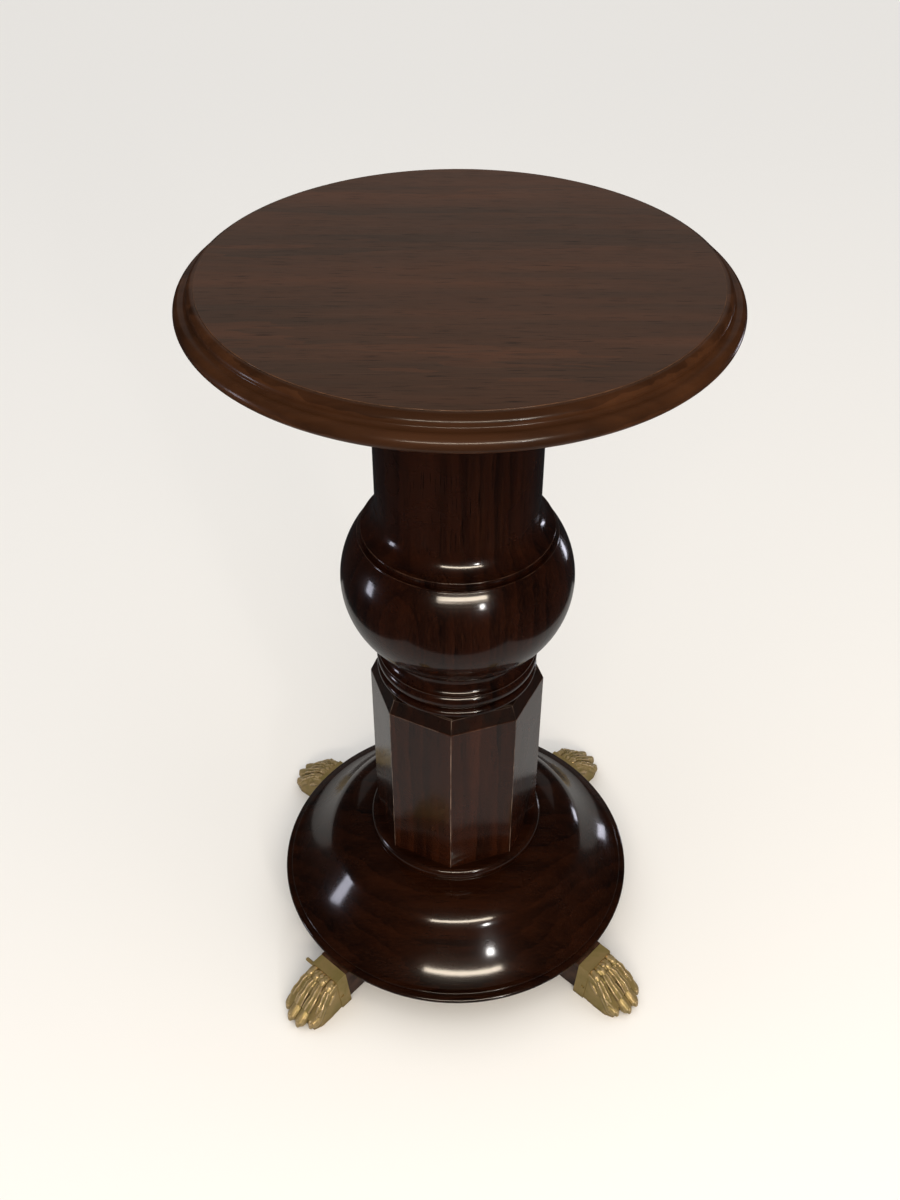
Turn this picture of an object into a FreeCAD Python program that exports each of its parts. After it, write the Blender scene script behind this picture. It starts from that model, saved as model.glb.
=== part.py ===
import FreeCAD, Part
import math
import os

# Round pedestal table.
# A moulded round top stands on a turned shaft, a turned bulb, a ringed neck
# and an octagonal block, over a turned ogee base whose four wooden feet wear
# brass lion-paw caps.
# Millimetres, +Z up, origin on the floor under the column's axis; the side
# the table is seen from faces -Y.

# ---------------------------------------------------------------- overall
TABLE_HEIGHT = 741.0
TOP_RADIUS = 215.0
BASE_RADIUS = 188.5

# ---------------------------------------------------------------- table top
TOP_THICKNESS = 24.2
QUIRK_INSET = 17.0            # edge of the flat field, in from the rim
QUIRK_DEPTH = 0.9
OVOLO_WIDTH = 6.6
OVOLO_DEPTH = 5.6
OVOLO_FILLET = 1.1
COVE_WIDTH = 3.6
COVE_DEPTH = 2.6
NOSE_LEDGE = 2.2
NOSE_UNDERCUT = 5.4           # lower edge, in from the rim

# ---------------------------------------------------------------- bearer
BEARER_RADIUS = 110.0
BEARER_THICKNESS = 20.0
BEARER_ROUND = 4.0
BEARER_SCREW_COUNT = 6
BEARER_SCREW_INSET = 22.0     # screws, in from the bearer's rim
BEARER_SCREW_BITE = 12.0      # how far the screws reach into the top

# ---------------------------------------------------------------- shaft
SHAFT_RADIUS = 72.2
FLARE_OVERHANG = 13.8
FLARE_HEIGHT = 22.0
FLARE_BAND = 5.9

# ---------------------------------------------------------------- bulb
BULB_HEIGHT = 119.5
BULB_LEDGE = 3.2              # flat step around the shaft's foot
BULB_BAND = 1.0
BULB_SWELL = 20.1             # how far it stands out past the shaft's flare
BULB_WIDEST = 0.567           # level of the widest circle, share of height
BULB_POINTS = 12              # points its oval side is drawn through

# ---------------------------------------------------------------- octagon
OCTAGON_FLATS = 155.8         # across the flats
OCTAGON_HEIGHT = 210.5
OCTAGON_CHAMFER_INSET = 5.6
OCTAGON_CHAMFER_HEIGHT = 14.5
OCTAGON_SIDES = 8
OCTAGON_TURN = -3.4           # degrees, front corner off the front line
OCTAGON_ARRIS = 0.8

# ---------------------------------------------------------------- neck
NECK_HEIGHT = 45.0
NECK_INSET = 1.4              # torus, in from the octagon's flats
NECK_BAND_INSET = 4.3         # top band, in from the torus
NECK_BAND_HEIGHT = 4.0
NECK_COVE_INSET = 1.0         # lower lip of the cove, in from the torus
NECK_COVE_SINK = 2.4          # root of the cove, in from the top band
NECK_COVE_HEIGHT = 12.5
NECK_QUIRK_HEIGHT = 1.2       # narrow upright above the torus and the bead
NECK_TORUS_HEIGHT = 16.6
NECK_TORUS_DEPTH = 5.2
NECK_BEAD_HEIGHT = 8.0
NECK_BEAD_DEPTH = 3.0
NECK_FOOT_INSET = 1.5         # foot of the collar, in from the bead's root

# ---------------------------------------------------------------- base
FOOT_RISE = 40.5              # floor to the underside of the base
BOARD_THICKNESS = 8.5
BOARD_BEAD_HEIGHT = 3.0
BOARD_BEAD_INSET = 7.6        # root of the bead, in from the rim
BOARD_BEAD_DEPTH = 1.4
BOARD_BEAD_LIP = 0.4
BOARD_QUIRK = 1.6
BOARD_ROUND_SHARE = 0.6       # rounded part of the rim, share of its height
BOARD_CHAMFER = 1.2
BOARD_SCREW_COUNT = 4
BOARD_SCREW_INSET = 70.5      # in from the base rim
BOARD_SCREW_TURN = 4.0        # degrees, first screw off +X
BOARD_SCREW_LENGTH = 28.0
DOME_HEIGHT = 75.5
DOME_RING_GAP = 1.0           # ring's inner edge, out from the octagon
DOME_RING_WIDTH = 6.8         # ring's outer edge, out from the octagon
DOME_RING_HEIGHT = 8.2
DOME_RING_STEP = 3.0
DOME_RING_LEDGE = 1.4
DOME_EDGE_INSET = 11.0        # lower edge of the ogee, in from the base rim
DOME_SHOULDER_RUN = 0.52      # convex part, share of the ogee's run
DOME_SHOULDER_DROP = 0.345    # convex part, share of the ogee's drop
DOME_SLOPE = 54.0             # degrees, steepest part of the ogee
DOME_END_SLOPE = 32.0         # degrees, ogee at its lower edge

# ---------------------------------------------------------------- feet
# Each foot's direction in degrees from +X, and how far it is set in.
FOOT_PLACES = {
    "rear_right": (47.0, 9.0),
    "rear_left": (141.0, 9.0),
    "front_left": (228.9, 0.0),
    "front_right": (317.4, 0.0),
}
FOOT_WIDTH = 41.0             # at the floor; the sides lean in
FOOT_TOP_WIDTH = 36.0
FOOT_INNER_RADIUS = 66.0
FOOT_FLOOR_GAP = 2.5
FOOT_SCREW_INSET = 26.0
FOOT_SCREW_SHARE = 0.5        # second screw, share of the way to the rim
FOOT_SCREW_LENGTH = 52.0
CAP_WIDTH = 46.0              # at the floor, rear edge
CAP_TOP_WIDTH = 34.0
CAP_TOP_GAP = 0.5             # below the underside of the base
CAP_HEIGHT = FOOT_RISE - CAP_TOP_GAP
CAP_LENGTH = 63.0
CAP_GAP = 2.5                 # base rim to the cap's rear edge
CAP_WALL = 2.4
CAP_SOCKET = 14.5             # depth of the hollow for the foot's end
CAP_COLLAR_LENGTH = 13.0
CAP_COLLAR_STEP = 0.8
# Hull behind the toes: shares of the cap's length, width and height.
HULL_SECTIONS = [
    (0.0, 1.0, 1.0),
    (0.24, 1.02, 1.0),
    (0.48, 1.07, 0.8),
    (0.66, 1.08, 0.6),
    (0.84, 0.88, 0.36),
]
TOE_COUNT = 4
# Middle line of a toe: shares of the cap's length and height.
TOE_LINE = [(0.30, 0.85), (0.48, 0.65), (0.66, 0.43), (0.886, 0.2125)]
TOE_RADIUS = 7.2
TOE_ROOT_RADIUS = 4.6
TOE_KNUCKLE = 0.25            # knuckles stand out past the fingers
TOE_SPREAD = 1.04             # widest part, share of the spread at the tips
TOE_SIDE_DROP = 0.06          # outer toes lie lower, share of the height
TOE_SETBACK = 9.0             # outer toes end this far behind the inner ones
TOE_OVERHANG = 0.6            # outer toes stand out past the hull's foot
PIN_RADIUS = 2.0
PIN_LENGTH = 12.0
PIN_SINK = 0.6
PIN_INSET = 10.0              # cap's rear edge to the pins
PIN_HEIGHT = 16.0
LOOSE_PIN_CAP = "front_left"
LOOSE_PIN_HEIGHT = 31.0
LOOSE_PIN_PROUD = 13.0

# ---------------------------------------------------------------- joinery
TENON_RADIUS = 25.0
TENON_LENGTH = 45.0
NECK_TENON_RADIUS = 22.0
TENON_GAP = 0.15
WEDGE_THICK = 4.0
WEDGE_THIN = 1.2
WEDGE_LENGTH = 16.0
WEDGE_GAP = 0.05
WEDGE_SHORT = 0.4             # wedge ends stay this far inside the joint
SCREW_RADIUS = 2.2
SCREW_HEAD_RADIUS = 4.2
SCREW_HEAD_DEPTH = 2.8
SCREW_POINT = 4.0
SCREW_SLOT = 1.0
SCREW_SINK = 0.4
SCREW_GAP = 0.15
CONTACT_GAP = 0.3             # between faces that only lie near each other
CUT_THROUGH = 1.0             # how far a cutting shape runs past a face

# ---------------------------------------------------------------- levels
DOME_FLOOR = FOOT_RISE + BOARD_THICKNESS
OCTAGON_FLOOR = DOME_FLOOR + DOME_HEIGHT
NECK_FLOOR = OCTAGON_FLOOR + OCTAGON_HEIGHT
BULB_FLOOR = NECK_FLOOR + NECK_HEIGHT
SHAFT_FLOOR = BULB_FLOOR + BULB_HEIGHT
TOP_FLOOR = TABLE_HEIGHT - TOP_THICKNESS
BEARER_FLOOR = TOP_FLOOR - BEARER_THICKNESS

# ---------------------------------------------------------------- radii
FLARE_EDGE = SHAFT_RADIUS + FLARE_OVERHANG
BULB_RADIUS = FLARE_EDGE + BULB_SWELL
OCTAGON_CORNER = OCTAGON_FLATS / 2 / math.cos(math.pi / OCTAGON_SIDES)
NECK_RADIUS = OCTAGON_FLATS / 2 - NECK_INSET
NECK_BAND_RADIUS = NECK_RADIUS - NECK_BAND_INSET
BEARER_SCREW_CIRCLE = BEARER_RADIUS - BEARER_SCREW_INSET
BEARER_SCREW_LENGTH = BEARER_THICKNESS + BEARER_SCREW_BITE
BOARD_SCREW_CIRCLE = BASE_RADIUS - BOARD_SCREW_INSET
DOME_EDGE = BASE_RADIUS - DOME_EDGE_INSET
CAP_REAR = BASE_RADIUS + CAP_GAP
CAP_TIP = CAP_REAR + CAP_LENGTH

ORIGIN = FreeCAD.Vector(0, 0, 0)
UP = FreeCAD.Vector(0, 0, 1)


# ---------------------------------------------------------------- helpers
def at(radius, height):
    """Point in the half plane that is turned about the column's axis."""
    return FreeCAD.Vector(radius, 0, height)


def outline_face(start, steps):
    """Face inside a closed outline.

    Each step is (r, z) for a straight line, a pair of points for an arc
    through the first to the second, or a curve that starts where the
    outline has come to."""
    edges = []
    here = at(*start)
    for step in steps + [start]:
        if isinstance(step, Part.Edge):
            edge = step
        elif isinstance(step[0], tuple):
            edge = Part.Arc(here, at(*step[0]), at(*step[1])).toShape()
        else:
            edge = Part.makeLine(here, at(*step))
        edges.append(edge)
        here = edge.valueAt(edge.LastParameter)
    return Part.Face(Part.Wire(edges))


def turned(start, steps):
    """Solid turned about the column's axis."""
    return outline_face(start, steps).revolve(ORIGIN, UP, 360)


def rod(radius, floor, height):
    return Part.makeCylinder(radius, height, at(0, floor), UP)


def round_mid(start, end, steep_first):
    """Middle point of a quarter-round between two corners of its box."""
    share = math.sqrt(0.5)
    run = (end[0] - start[0]) * ((1 - share) if steep_first else share)
    drop = (end[1] - start[1]) * (share if steep_first else (1 - share))
    return (start[0] + run, start[1] + drop)


def quarter(start, end, steep_first):
    """Outline step for a quarter-round, vertical at its start or its end."""
    return (round_mid(start, end, steep_first), end)


def swell(start, end, bulge):
    """Outline step for a bead that bulges outwards between two points."""
    middle = (max(start[0], end[0]) + bulge, (start[1] + end[1]) / 2)
    return (middle, end)


def around(shape, count, first=0.0):
    """Copies of a shape spaced evenly about the column's axis."""
    copies = []
    for index in range(count):
        copy = shape.copy()
        copy.rotate(ORIGIN, UP, first + index * 360.0 / count)
        copies.append(copy)
    return copies


def screw_outline(length, grow):
    """Points up a countersunk screw's side, its head's face at SCREW_SINK."""
    tip = SCREW_SINK + length + grow
    return [
        (SCREW_HEAD_RADIUS + grow, SCREW_SINK),
        (SCREW_RADIUS + grow, SCREW_SINK + SCREW_HEAD_DEPTH),
        (SCREW_RADIUS + grow, tip - SCREW_POINT),
        (0, tip)]


def screw(length):
    """Slotted wood screw pointing up."""
    body = turned((0, SCREW_SINK), screw_outline(length, 0))
    slot = Part.makeBox(4 * SCREW_HEAD_RADIUS, SCREW_SLOT, SCREW_SLOT)
    slot.translate(FreeCAD.Vector(-2 * SCREW_HEAD_RADIUS, -SCREW_SLOT / 2, SCREW_SINK))
    return body.cut(slot)


def screw_hole(length):
    """Countersunk hole for that screw, open at level 0."""
    mouth = (SCREW_HEAD_RADIUS + SCREW_GAP, 0)
    return turned((0, 0), [mouth] + screw_outline(length, SCREW_GAP))


def raised(shape, radius, floor):
    """The shape moved out to a radius along +X and up to a level."""
    copy = shape.copy()
    copy.translate(FreeCAD.Vector(radius, 0, floor))
    return copy


def wedge(grow=0.0):
    """Tapered wedge, its thick end up, its top face at level 0."""
    thick = WEDGE_THICK / 2 + grow
    thin = WEDGE_THIN / 2 + grow
    reach = TENON_RADIUS - WEDGE_SHORT - WEDGE_THICK + grow
    top = -WEDGE_SHORT + grow * WEDGE_SHORT / WEDGE_GAP
    low = -WEDGE_LENGTH - grow
    corners = [(-thick, top), (thick, top), (thin, low), (-thin, low), (-thick, top)]
    wire = Part.makePolygon([FreeCAD.Vector(-reach, y, z) for y, z in corners])
    return Part.Face(wire).extrude(FreeCAD.Vector(2 * reach, 0, 0))


def octagon(circumradius, floor):
    """Closed wire of an octagon at a level."""
    corners = []
    for index in range(OCTAGON_SIDES + 1):
        angle = math.radians(OCTAGON_TURN - 90 + index * 360.0 / OCTAGON_SIDES)
        across = circumradius * math.cos(angle)
        corners.append(FreeCAD.Vector(across, circumradius * math.sin(angle), floor))
    return Part.makePolygon(corners)


# ---------------------------------------------------------------- top group
def bearer_screw_holes():
    hole = raised(screw_hole(BEARER_SCREW_LENGTH), BEARER_SCREW_CIRCLE, BEARER_FLOOR)
    return around(hole, BEARER_SCREW_COUNT)


def table_top():
    """Moulded board: flat field, quirked ovolo, cove and round nose."""
    field = TOP_RADIUS - QUIRK_INSET
    ovolo_top = (field, TABLE_HEIGHT - QUIRK_DEPTH)
    ovolo_end = (field + OVOLO_WIDTH, ovolo_top[1] - OVOLO_DEPTH)
    cove_top = (ovolo_end[0], ovolo_end[1] - OVOLO_FILLET)
    cove_end = (cove_top[0] + COVE_WIDTH, cove_top[1] - COVE_DEPTH)
    nose_top = (cove_end[0] + NOSE_LEDGE, cove_end[1])
    nose_end = (TOP_RADIUS - NOSE_UNDERCUT, TOP_FLOOR)
    nose_mid = (TOP_RADIUS, (nose_top[1] + nose_end[1]) / 2)
    board = turned((0, TOP_FLOOR), [
        nose_end,
        (nose_mid, nose_top),
        cove_end,
        quarter(cove_end, cove_top, False),
        ovolo_end,
        quarter(ovolo_end, ovolo_top, True),
        (field, TABLE_HEIGHT),
        (0, TABLE_HEIGHT)])
    return board.cut(bearer_screw_holes())


def top_bearer():
    """Round block screwed under the top; the shaft's tenon passes through."""
    low = BEARER_RADIUS - BEARER_ROUND
    hole = TENON_RADIUS + TENON_GAP
    rounded = quarter((low, BEARER_FLOOR), (BEARER_RADIUS, BEARER_FLOOR + BEARER_ROUND), False)
    block = turned((hole, BEARER_FLOOR), [
        (low, BEARER_FLOOR),
        rounded,
        (BEARER_RADIUS, TOP_FLOOR),
        (hole, TOP_FLOOR)])
    return block.cut(bearer_screw_holes())


def bearer_screws():
    fixing = raised(screw(BEARER_SCREW_LENGTH), BEARER_SCREW_CIRCLE, BEARER_FLOOR)
    return Part.makeCompound(around(fixing, BEARER_SCREW_COUNT))


# ---------------------------------------------------------------- column
def upper_shaft():
    """Plain round shaft with a flared foot and a tenon at each end."""
    band_top = SHAFT_FLOOR + FLARE_BAND
    flare_top = band_top + FLARE_HEIGHT
    flare_radius = (FLARE_OVERHANG ** 2 + FLARE_HEIGHT ** 2) / (2 * FLARE_OVERHANG)
    half_turn = math.asin(FLARE_HEIGHT / flare_radius) / 2
    if FLARE_OVERHANG > flare_radius:
        half_turn = (math.pi - math.asin(FLARE_HEIGHT / flare_radius)) / 2
    flare_mid = (SHAFT_RADIUS + flare_radius * (1 - math.cos(half_turn)),
                 flare_top - flare_radius * math.sin(half_turn))
    tenon_floor = SHAFT_FLOOR - TENON_LENGTH
    shaft = turned((0, tenon_floor), [
        (TENON_RADIUS, tenon_floor),
        (TENON_RADIUS, SHAFT_FLOOR),
        (FLARE_EDGE, SHAFT_FLOOR),
        (FLARE_EDGE, band_top),
        (flare_mid, (SHAFT_RADIUS, flare_top)),
        (SHAFT_RADIUS, BEARER_FLOOR),
        (TENON_RADIUS, BEARER_FLOOR),
        (TENON_RADIUS, TOP_FLOOR),
        (0, TOP_FLOOR)])
    return shaft.cut(raised(wedge(WEDGE_GAP), 0, TOP_FLOOR))


def shaft_wedge():
    return raised(wedge(), 0, TOP_FLOOR)


def half_oval(rise, radius):
    """Half height of an oval that is this wide at a rise from its middle."""
    return rise / math.sqrt(1 - (radius / BULB_RADIUS) ** 2)


def bulb_side():
    """Side of the bulb from its foot up: an oval, widest above the middle."""
    widest = BULB_FLOOR + BULB_WIDEST * BULB_HEIGHT
    top = SHAFT_FLOOR - BULB_BAND
    above = half_oval(top - widest, FLARE_EDGE + BULB_LEDGE)
    below = half_oval(widest - BULB_FLOOR, NECK_BAND_RADIUS)
    points = []
    for index in range(BULB_POINTS + 1):
        height = BULB_FLOOR + (top - BULB_FLOOR) * index / BULB_POINTS
        reach = (height - widest) / (above if height > widest else below)
        points.append(at(BULB_RADIUS * math.sqrt(1 - reach ** 2), height))
    side = Part.BSplineCurve()
    side.interpolate(points)
    return side.toShape()


def bulb():
    """Oval turned bulb with a ledge for the shaft and a tenon below."""
    tenon_floor = BULB_FLOOR - NECK_HEIGHT - TENON_LENGTH
    body = turned((0, tenon_floor), [
        (NECK_TENON_RADIUS, tenon_floor),
        (NECK_TENON_RADIUS, BULB_FLOOR),
        (NECK_BAND_RADIUS, BULB_FLOOR),
        bulb_side(),
        (FLARE_EDGE + BULB_LEDGE, SHAFT_FLOOR),
        (0, SHAFT_FLOOR)])
    return body.cut(mortise(TENON_RADIUS, SHAFT_FLOOR))


def mortise(radius, top):
    """Round hole down from a level for a tenon of this radius."""
    depth = TENON_LENGTH + TENON_GAP
    return rod(radius + TENON_GAP, top - depth, depth + CUT_THROUGH)


def neck_collar():
    """Turned collar: top band, cove, torus and bead over the octagon."""
    bore = NECK_TENON_RADIUS + TENON_GAP
    band_floor = BULB_FLOOR - NECK_BAND_HEIGHT
    cove_top = (NECK_BAND_RADIUS - NECK_COVE_SINK, band_floor)
    cove_end = (NECK_RADIUS - NECK_COVE_INSET, band_floor - NECK_COVE_HEIGHT)
    torus_root = NECK_RADIUS - NECK_TORUS_DEPTH
    torus_top = cove_end[1] - NECK_QUIRK_HEIGHT
    torus_floor = torus_top - NECK_TORUS_HEIGHT
    bead_root = NECK_RADIUS - NECK_BEAD_DEPTH
    bead_top = torus_floor - NECK_QUIRK_HEIGHT
    bead_floor = bead_top - NECK_BEAD_HEIGHT
    foot = bead_root - NECK_FOOT_INSET
    return turned((bore, NECK_FLOOR), [
        (foot, NECK_FLOOR),
        (foot, bead_floor),
        (bead_root, bead_floor),
        swell((bead_root, bead_floor), (bead_root, bead_top), NECK_BEAD_DEPTH),
        (torus_root, bead_top),
        (torus_root, torus_floor),
        swell((torus_root, torus_floor), (torus_root, torus_top), NECK_TORUS_DEPTH),
        (cove_end[0], torus_top),
        cove_end,
        quarter(cove_end, cove_top, False),
        (NECK_BAND_RADIUS, band_floor),
        (NECK_BAND_RADIUS, BULB_FLOOR),
        (bore, BULB_FLOOR)])


def octagonal_block():
    """Octagonal block, chamfered above, with a through tenon below."""
    shoulder = NECK_FLOOR - OCTAGON_CHAMFER_HEIGHT
    small = (OCTAGON_FLATS / 2 - OCTAGON_CHAMFER_INSET) / math.cos(math.pi / OCTAGON_SIDES)
    body = Part.Face(octagon(OCTAGON_CORNER, OCTAGON_FLOOR)).extrude(
        FreeCAD.Vector(0, 0, shoulder - OCTAGON_FLOOR))
    upright = [edge for edge in body.Edges if edge.BoundBox.ZLength > OCTAGON_CHAMFER_HEIGHT]
    body = body.makeFillet(OCTAGON_ARRIS, upright)
    cap = Part.makeLoft([octagon(OCTAGON_CORNER, shoulder), octagon(small, NECK_FLOOR)], True, True)
    tenon = rod(TENON_RADIUS, FOOT_RISE, OCTAGON_FLOOR - FOOT_RISE)
    kerf = raised(turned_over(wedge(WEDGE_GAP)), 0, FOOT_RISE)
    socket = mortise(NECK_TENON_RADIUS, NECK_FLOOR)
    return body.fuse([cap, tenon]).removeSplitter().cut([socket, kerf])


def turned_over(shape):
    """The shape turned upside down about the X axis."""
    copy = shape.copy()
    copy.rotate(ORIGIN, FreeCAD.Vector(1, 0, 0), 180)
    return copy


def base_wedge():
    return raised(turned_over(wedge()), 0, FOOT_RISE)


# ---------------------------------------------------------------- base
def base_tenon_hole():
    depth = OCTAGON_FLOOR - FOOT_RISE
    return rod(TENON_RADIUS + TENON_GAP, FOOT_RISE - CUT_THROUGH, depth + 2 * CUT_THROUGH)


def board_screw_holes():
    hole = raised(screw_hole(BOARD_SCREW_LENGTH), BOARD_SCREW_CIRCLE, FOOT_RISE)
    return around(hole, BOARD_SCREW_COUNT, BOARD_SCREW_TURN)


def foot_screw_holes():
    holes = []
    for place in foot_screw_places():
        hole = raised(screw_hole(FOOT_SCREW_LENGTH), place, FOOT_FLOOR_GAP)
        holes += [placed(hole, name) for name in FOOT_PLACES]
    return holes


def foot_screw_places():
    """Radii of each foot's two screws."""
    first = FOOT_INNER_RADIUS + FOOT_SCREW_INSET
    return [first, first + (BASE_RADIUS - first) * FOOT_SCREW_SHARE]


def fall(degrees):
    """Direction in towards the axis and up a slope of this many degrees."""
    angle = math.radians(degrees)
    return FreeCAD.Vector(-math.cos(angle), 0, math.sin(angle))


def ogee(low, high):
    """Side of the dome from its lower edge up to the ring's foot."""
    run = low[0] - high[0]
    drop = high[1] - low[1]
    shoulder = (high[0] + DOME_SHOULDER_RUN * run, high[1] - DOME_SHOULDER_DROP * drop)
    slopes = [fall(DOME_END_SLOPE) * run, fall(DOME_SLOPE) * run, fall(0) * run]
    side = Part.BSplineCurve()
    side.interpolate(Points=[at(*low), at(*shoulder), at(*high)], Tangents=slopes,
                     TangentFlags=[True] * len(slopes))
    return side.toShape()


def base_dome():
    """Turned ogee with a raised ring around the octagon's foot."""
    ring_in = OCTAGON_CORNER + DOME_RING_GAP
    ring_out = OCTAGON_CORNER + DOME_RING_WIDTH
    ring_side = OCTAGON_FLOOR - DOME_RING_HEIGHT
    ring_foot = ring_side - DOME_RING_STEP
    edge = (DOME_EDGE, DOME_FLOOR)
    body = turned((0, DOME_FLOOR), [
        edge,
        ogee(edge, (ring_out + DOME_RING_LEDGE, ring_foot)),
        (ring_out, ring_foot),
        (ring_out, ring_side),
        quarter((ring_out, ring_side), (ring_in, OCTAGON_FLOOR), True),
        (0, OCTAGON_FLOOR)])
    return body.cut([base_tenon_hole()] + board_screw_holes() + foot_screw_holes())


def base_board():
    """Thin lower disc: a small bead and a rounded rim."""
    bead_root = BASE_RADIUS - BOARD_BEAD_INSET
    bead_floor = DOME_FLOOR - BOARD_BEAD_HEIGHT
    bead_top = DOME_FLOOR - BOARD_BEAD_LIP
    rim_in = (bead_root + BOARD_QUIRK, bead_floor)
    rim_out = (BASE_RADIUS, bead_floor - (bead_floor - FOOT_RISE) * BOARD_ROUND_SHARE)
    disc = turned((0, FOOT_RISE), [
        (BASE_RADIUS - BOARD_CHAMFER, FOOT_RISE),
        (BASE_RADIUS, FOOT_RISE + BOARD_CHAMFER),
        rim_out,
        quarter(rim_out, rim_in, True),
        (bead_root, bead_floor),
        swell((bead_root, bead_floor), (bead_root, bead_top), BOARD_BEAD_DEPTH),
        (DOME_EDGE + CONTACT_GAP, DOME_FLOOR),
        (0, DOME_FLOOR)])
    return disc.cut([base_tenon_hole()] + board_screw_holes() + foot_screw_holes())


def board_screws():
    fixing = raised(screw(BOARD_SCREW_LENGTH), BOARD_SCREW_CIRCLE, FOOT_RISE)
    return Part.makeCompound(around(fixing, BOARD_SCREW_COUNT, BOARD_SCREW_TURN))


def foot_screws():
    fixings = []
    for place in foot_screw_places():
        fixing = raised(screw(FOOT_SCREW_LENGTH), place, FOOT_FLOOR_GAP)
        fixings += [placed(fixing, name) for name in FOOT_PLACES]
    return Part.makeCompound(fixings)


# ---------------------------------------------------------------- feet
def section(place, base, top, floor, ceiling):
    """Closed wire of a foot's cross-section: upright, leaning sides."""
    corners = [(-base, floor), (base, floor), (top, ceiling), (-top, ceiling), (-base, floor)]
    return Part.makePolygon([FreeCAD.Vector(place, across, up) for across, up in corners])


def bar(start, end, base, top, floor, ceiling):
    """Straight bar along +X with a foot's cross-section."""
    face = Part.Face(section(start, base, top, floor, ceiling))
    return face.extrude(FreeCAD.Vector(end - start, 0, 0))


def cap_half_width(height):
    """Half the cap's width at a height above the floor, at its collar."""
    return (CAP_WIDTH + (CAP_TOP_WIDTH - CAP_WIDTH) * height / CAP_HEIGHT) / 2


def cap_hull():
    """Level over the collar, falling away under the toes; runs below the floor."""
    wires = []
    for along, wide, high in HULL_SECTIONS:
        base = wide * CAP_WIDTH / 2
        top = wide * CAP_TOP_WIDTH / 2
        place = CAP_REAR + along * CAP_LENGTH
        wires.append(section(place, base, top, -CUT_THROUGH, high * CAP_HEIGHT))
    return Part.makeLoft(wires, True, True)


def toe_places(index):
    """Centre and radius of the knuckles of one toe, from the root out."""
    share = 2.0 * index / (TOE_COUNT - 1) - 1.0
    tip_spread = share * (CAP_WIDTH / 2 - TOE_RADIUS + TOE_OVERHANG)
    root_spread = share * (CAP_TOP_WIDTH / 2 - TOE_ROOT_RADIUS)
    spreads = [root_spread, TOE_SPREAD * tip_spread, TOE_SPREAD * tip_spread, tip_spread]
    last = len(TOE_LINE) - 1
    places = []
    for step, (along, high) in enumerate(TOE_LINE):
        setback = share ** 2 * TOE_SETBACK * step / last
        drop = share ** 2 * TOE_SIDE_DROP if 0 < step < last else 0.0
        centre = FreeCAD.Vector(
            CAP_REAR + along * CAP_LENGTH - setback, spreads[step], (high - drop) * CAP_HEIGHT)
        places.append((centre, TOE_RADIUS if step else TOE_ROOT_RADIUS))
    return places


def toe(index):
    """Knuckles of one toe and the fingers between them."""
    places = toe_places(index)
    pieces = [Part.makeSphere(radius + TOE_KNUCKLE, centre) for centre, radius in places]
    for (here, near), (there, far) in zip(places, places[1:]):
        line = there.sub(here)
        if near == far:
            pieces.append(Part.makeCylinder(near, line.Length, here, line))
        else:
            pieces.append(Part.makeCone(near, far, line.Length, here, line))
    return pieces


def foot_tongue(grow=0.0):
    """End of the wooden foot that fills the cap's hollow."""
    base = CAP_WIDTH / 2 - CAP_WALL + grow
    top = CAP_TOP_WIDTH / 2 - CAP_WALL + grow
    end = CAP_REAR + CAP_SOCKET + grow
    return bar(CAP_REAR - CUT_THROUGH, end, base, top, CAP_WALL - grow, CAP_HEIGHT - CAP_WALL + grow)


def pin_blank(side, height, outer, length, radius):
    start = FreeCAD.Vector(CAP_REAR + PIN_INSET, side * outer, height)
    return Part.makeCylinder(radius, length, start, FreeCAD.Vector(0, -side, 0))


def pin(side, height, proud):
    """Brass pin across one side of the cap, its head just under the skin."""
    outer = cap_half_width(height) - PIN_SINK + proud
    return pin_blank(side, height, outer, PIN_LENGTH + proud, PIN_RADIUS)


def pin_holes(name):
    """Holes for one cap's two pins."""
    holes = []
    for side, height, proud in pin_settings(name):
        outer = cap_half_width(0) + CAP_COLLAR_STEP + CUT_THROUGH
        inner = cap_half_width(height) - PIN_SINK - PIN_LENGTH - SCREW_GAP
        holes.append(pin_blank(side, height, outer, outer - inner, PIN_RADIUS + SCREW_GAP))
    return holes


def pin_settings(name):
    """Side, height and stand-out of the pins of one cap."""
    if name == LOOSE_PIN_CAP:
        return [(1, PIN_HEIGHT, 0.0), (-1, LOOSE_PIN_HEIGHT, LOOSE_PIN_PROUD)]
    return [(1, PIN_HEIGHT, 0.0), (-1, PIN_HEIGHT, 0.0)]


def paw_cap(name):
    """Hollow brass lion's paw along +X."""
    step = CAP_COLLAR_STEP
    collar = bar(CAP_REAR, CAP_REAR + CAP_COLLAR_LENGTH,
                 CAP_WIDTH / 2 + step, CAP_TOP_WIDTH / 2 + step, -CUT_THROUGH, CAP_HEIGHT)
    body = cap_hull().fuse(collar)
    for index in range(TOE_COUNT):
        body = body.fuse(toe(index))
    corner = FreeCAD.Vector(0, -CAP_TIP, -CAP_HEIGHT)
    under = Part.makeBox(2 * CAP_TIP, 2 * CAP_TIP, CAP_HEIGHT, corner)
    body = body.cut(under)
    return body.cut([foot_tongue(TENON_GAP)] + pin_holes(name)).removeSplitter()


def foot_block(name):
    """Wooden foot along +X under the base, its outer end cut to the cap."""
    end = CAP_REAR - CONTACT_GAP
    base = FOOT_WIDTH / 2
    top = FOOT_TOP_WIDTH / 2
    stock = bar(FOOT_INNER_RADIUS, end, base, top, FOOT_FLOOR_GAP, FOOT_RISE)
    holes = pin_holes(name)
    for place in foot_screw_places():
        holes.append(raised(screw_hole(FOOT_SCREW_LENGTH), place, FOOT_FLOOR_GAP))
    return stock.fuse(foot_tongue()).removeSplitter().cut(holes)


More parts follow.
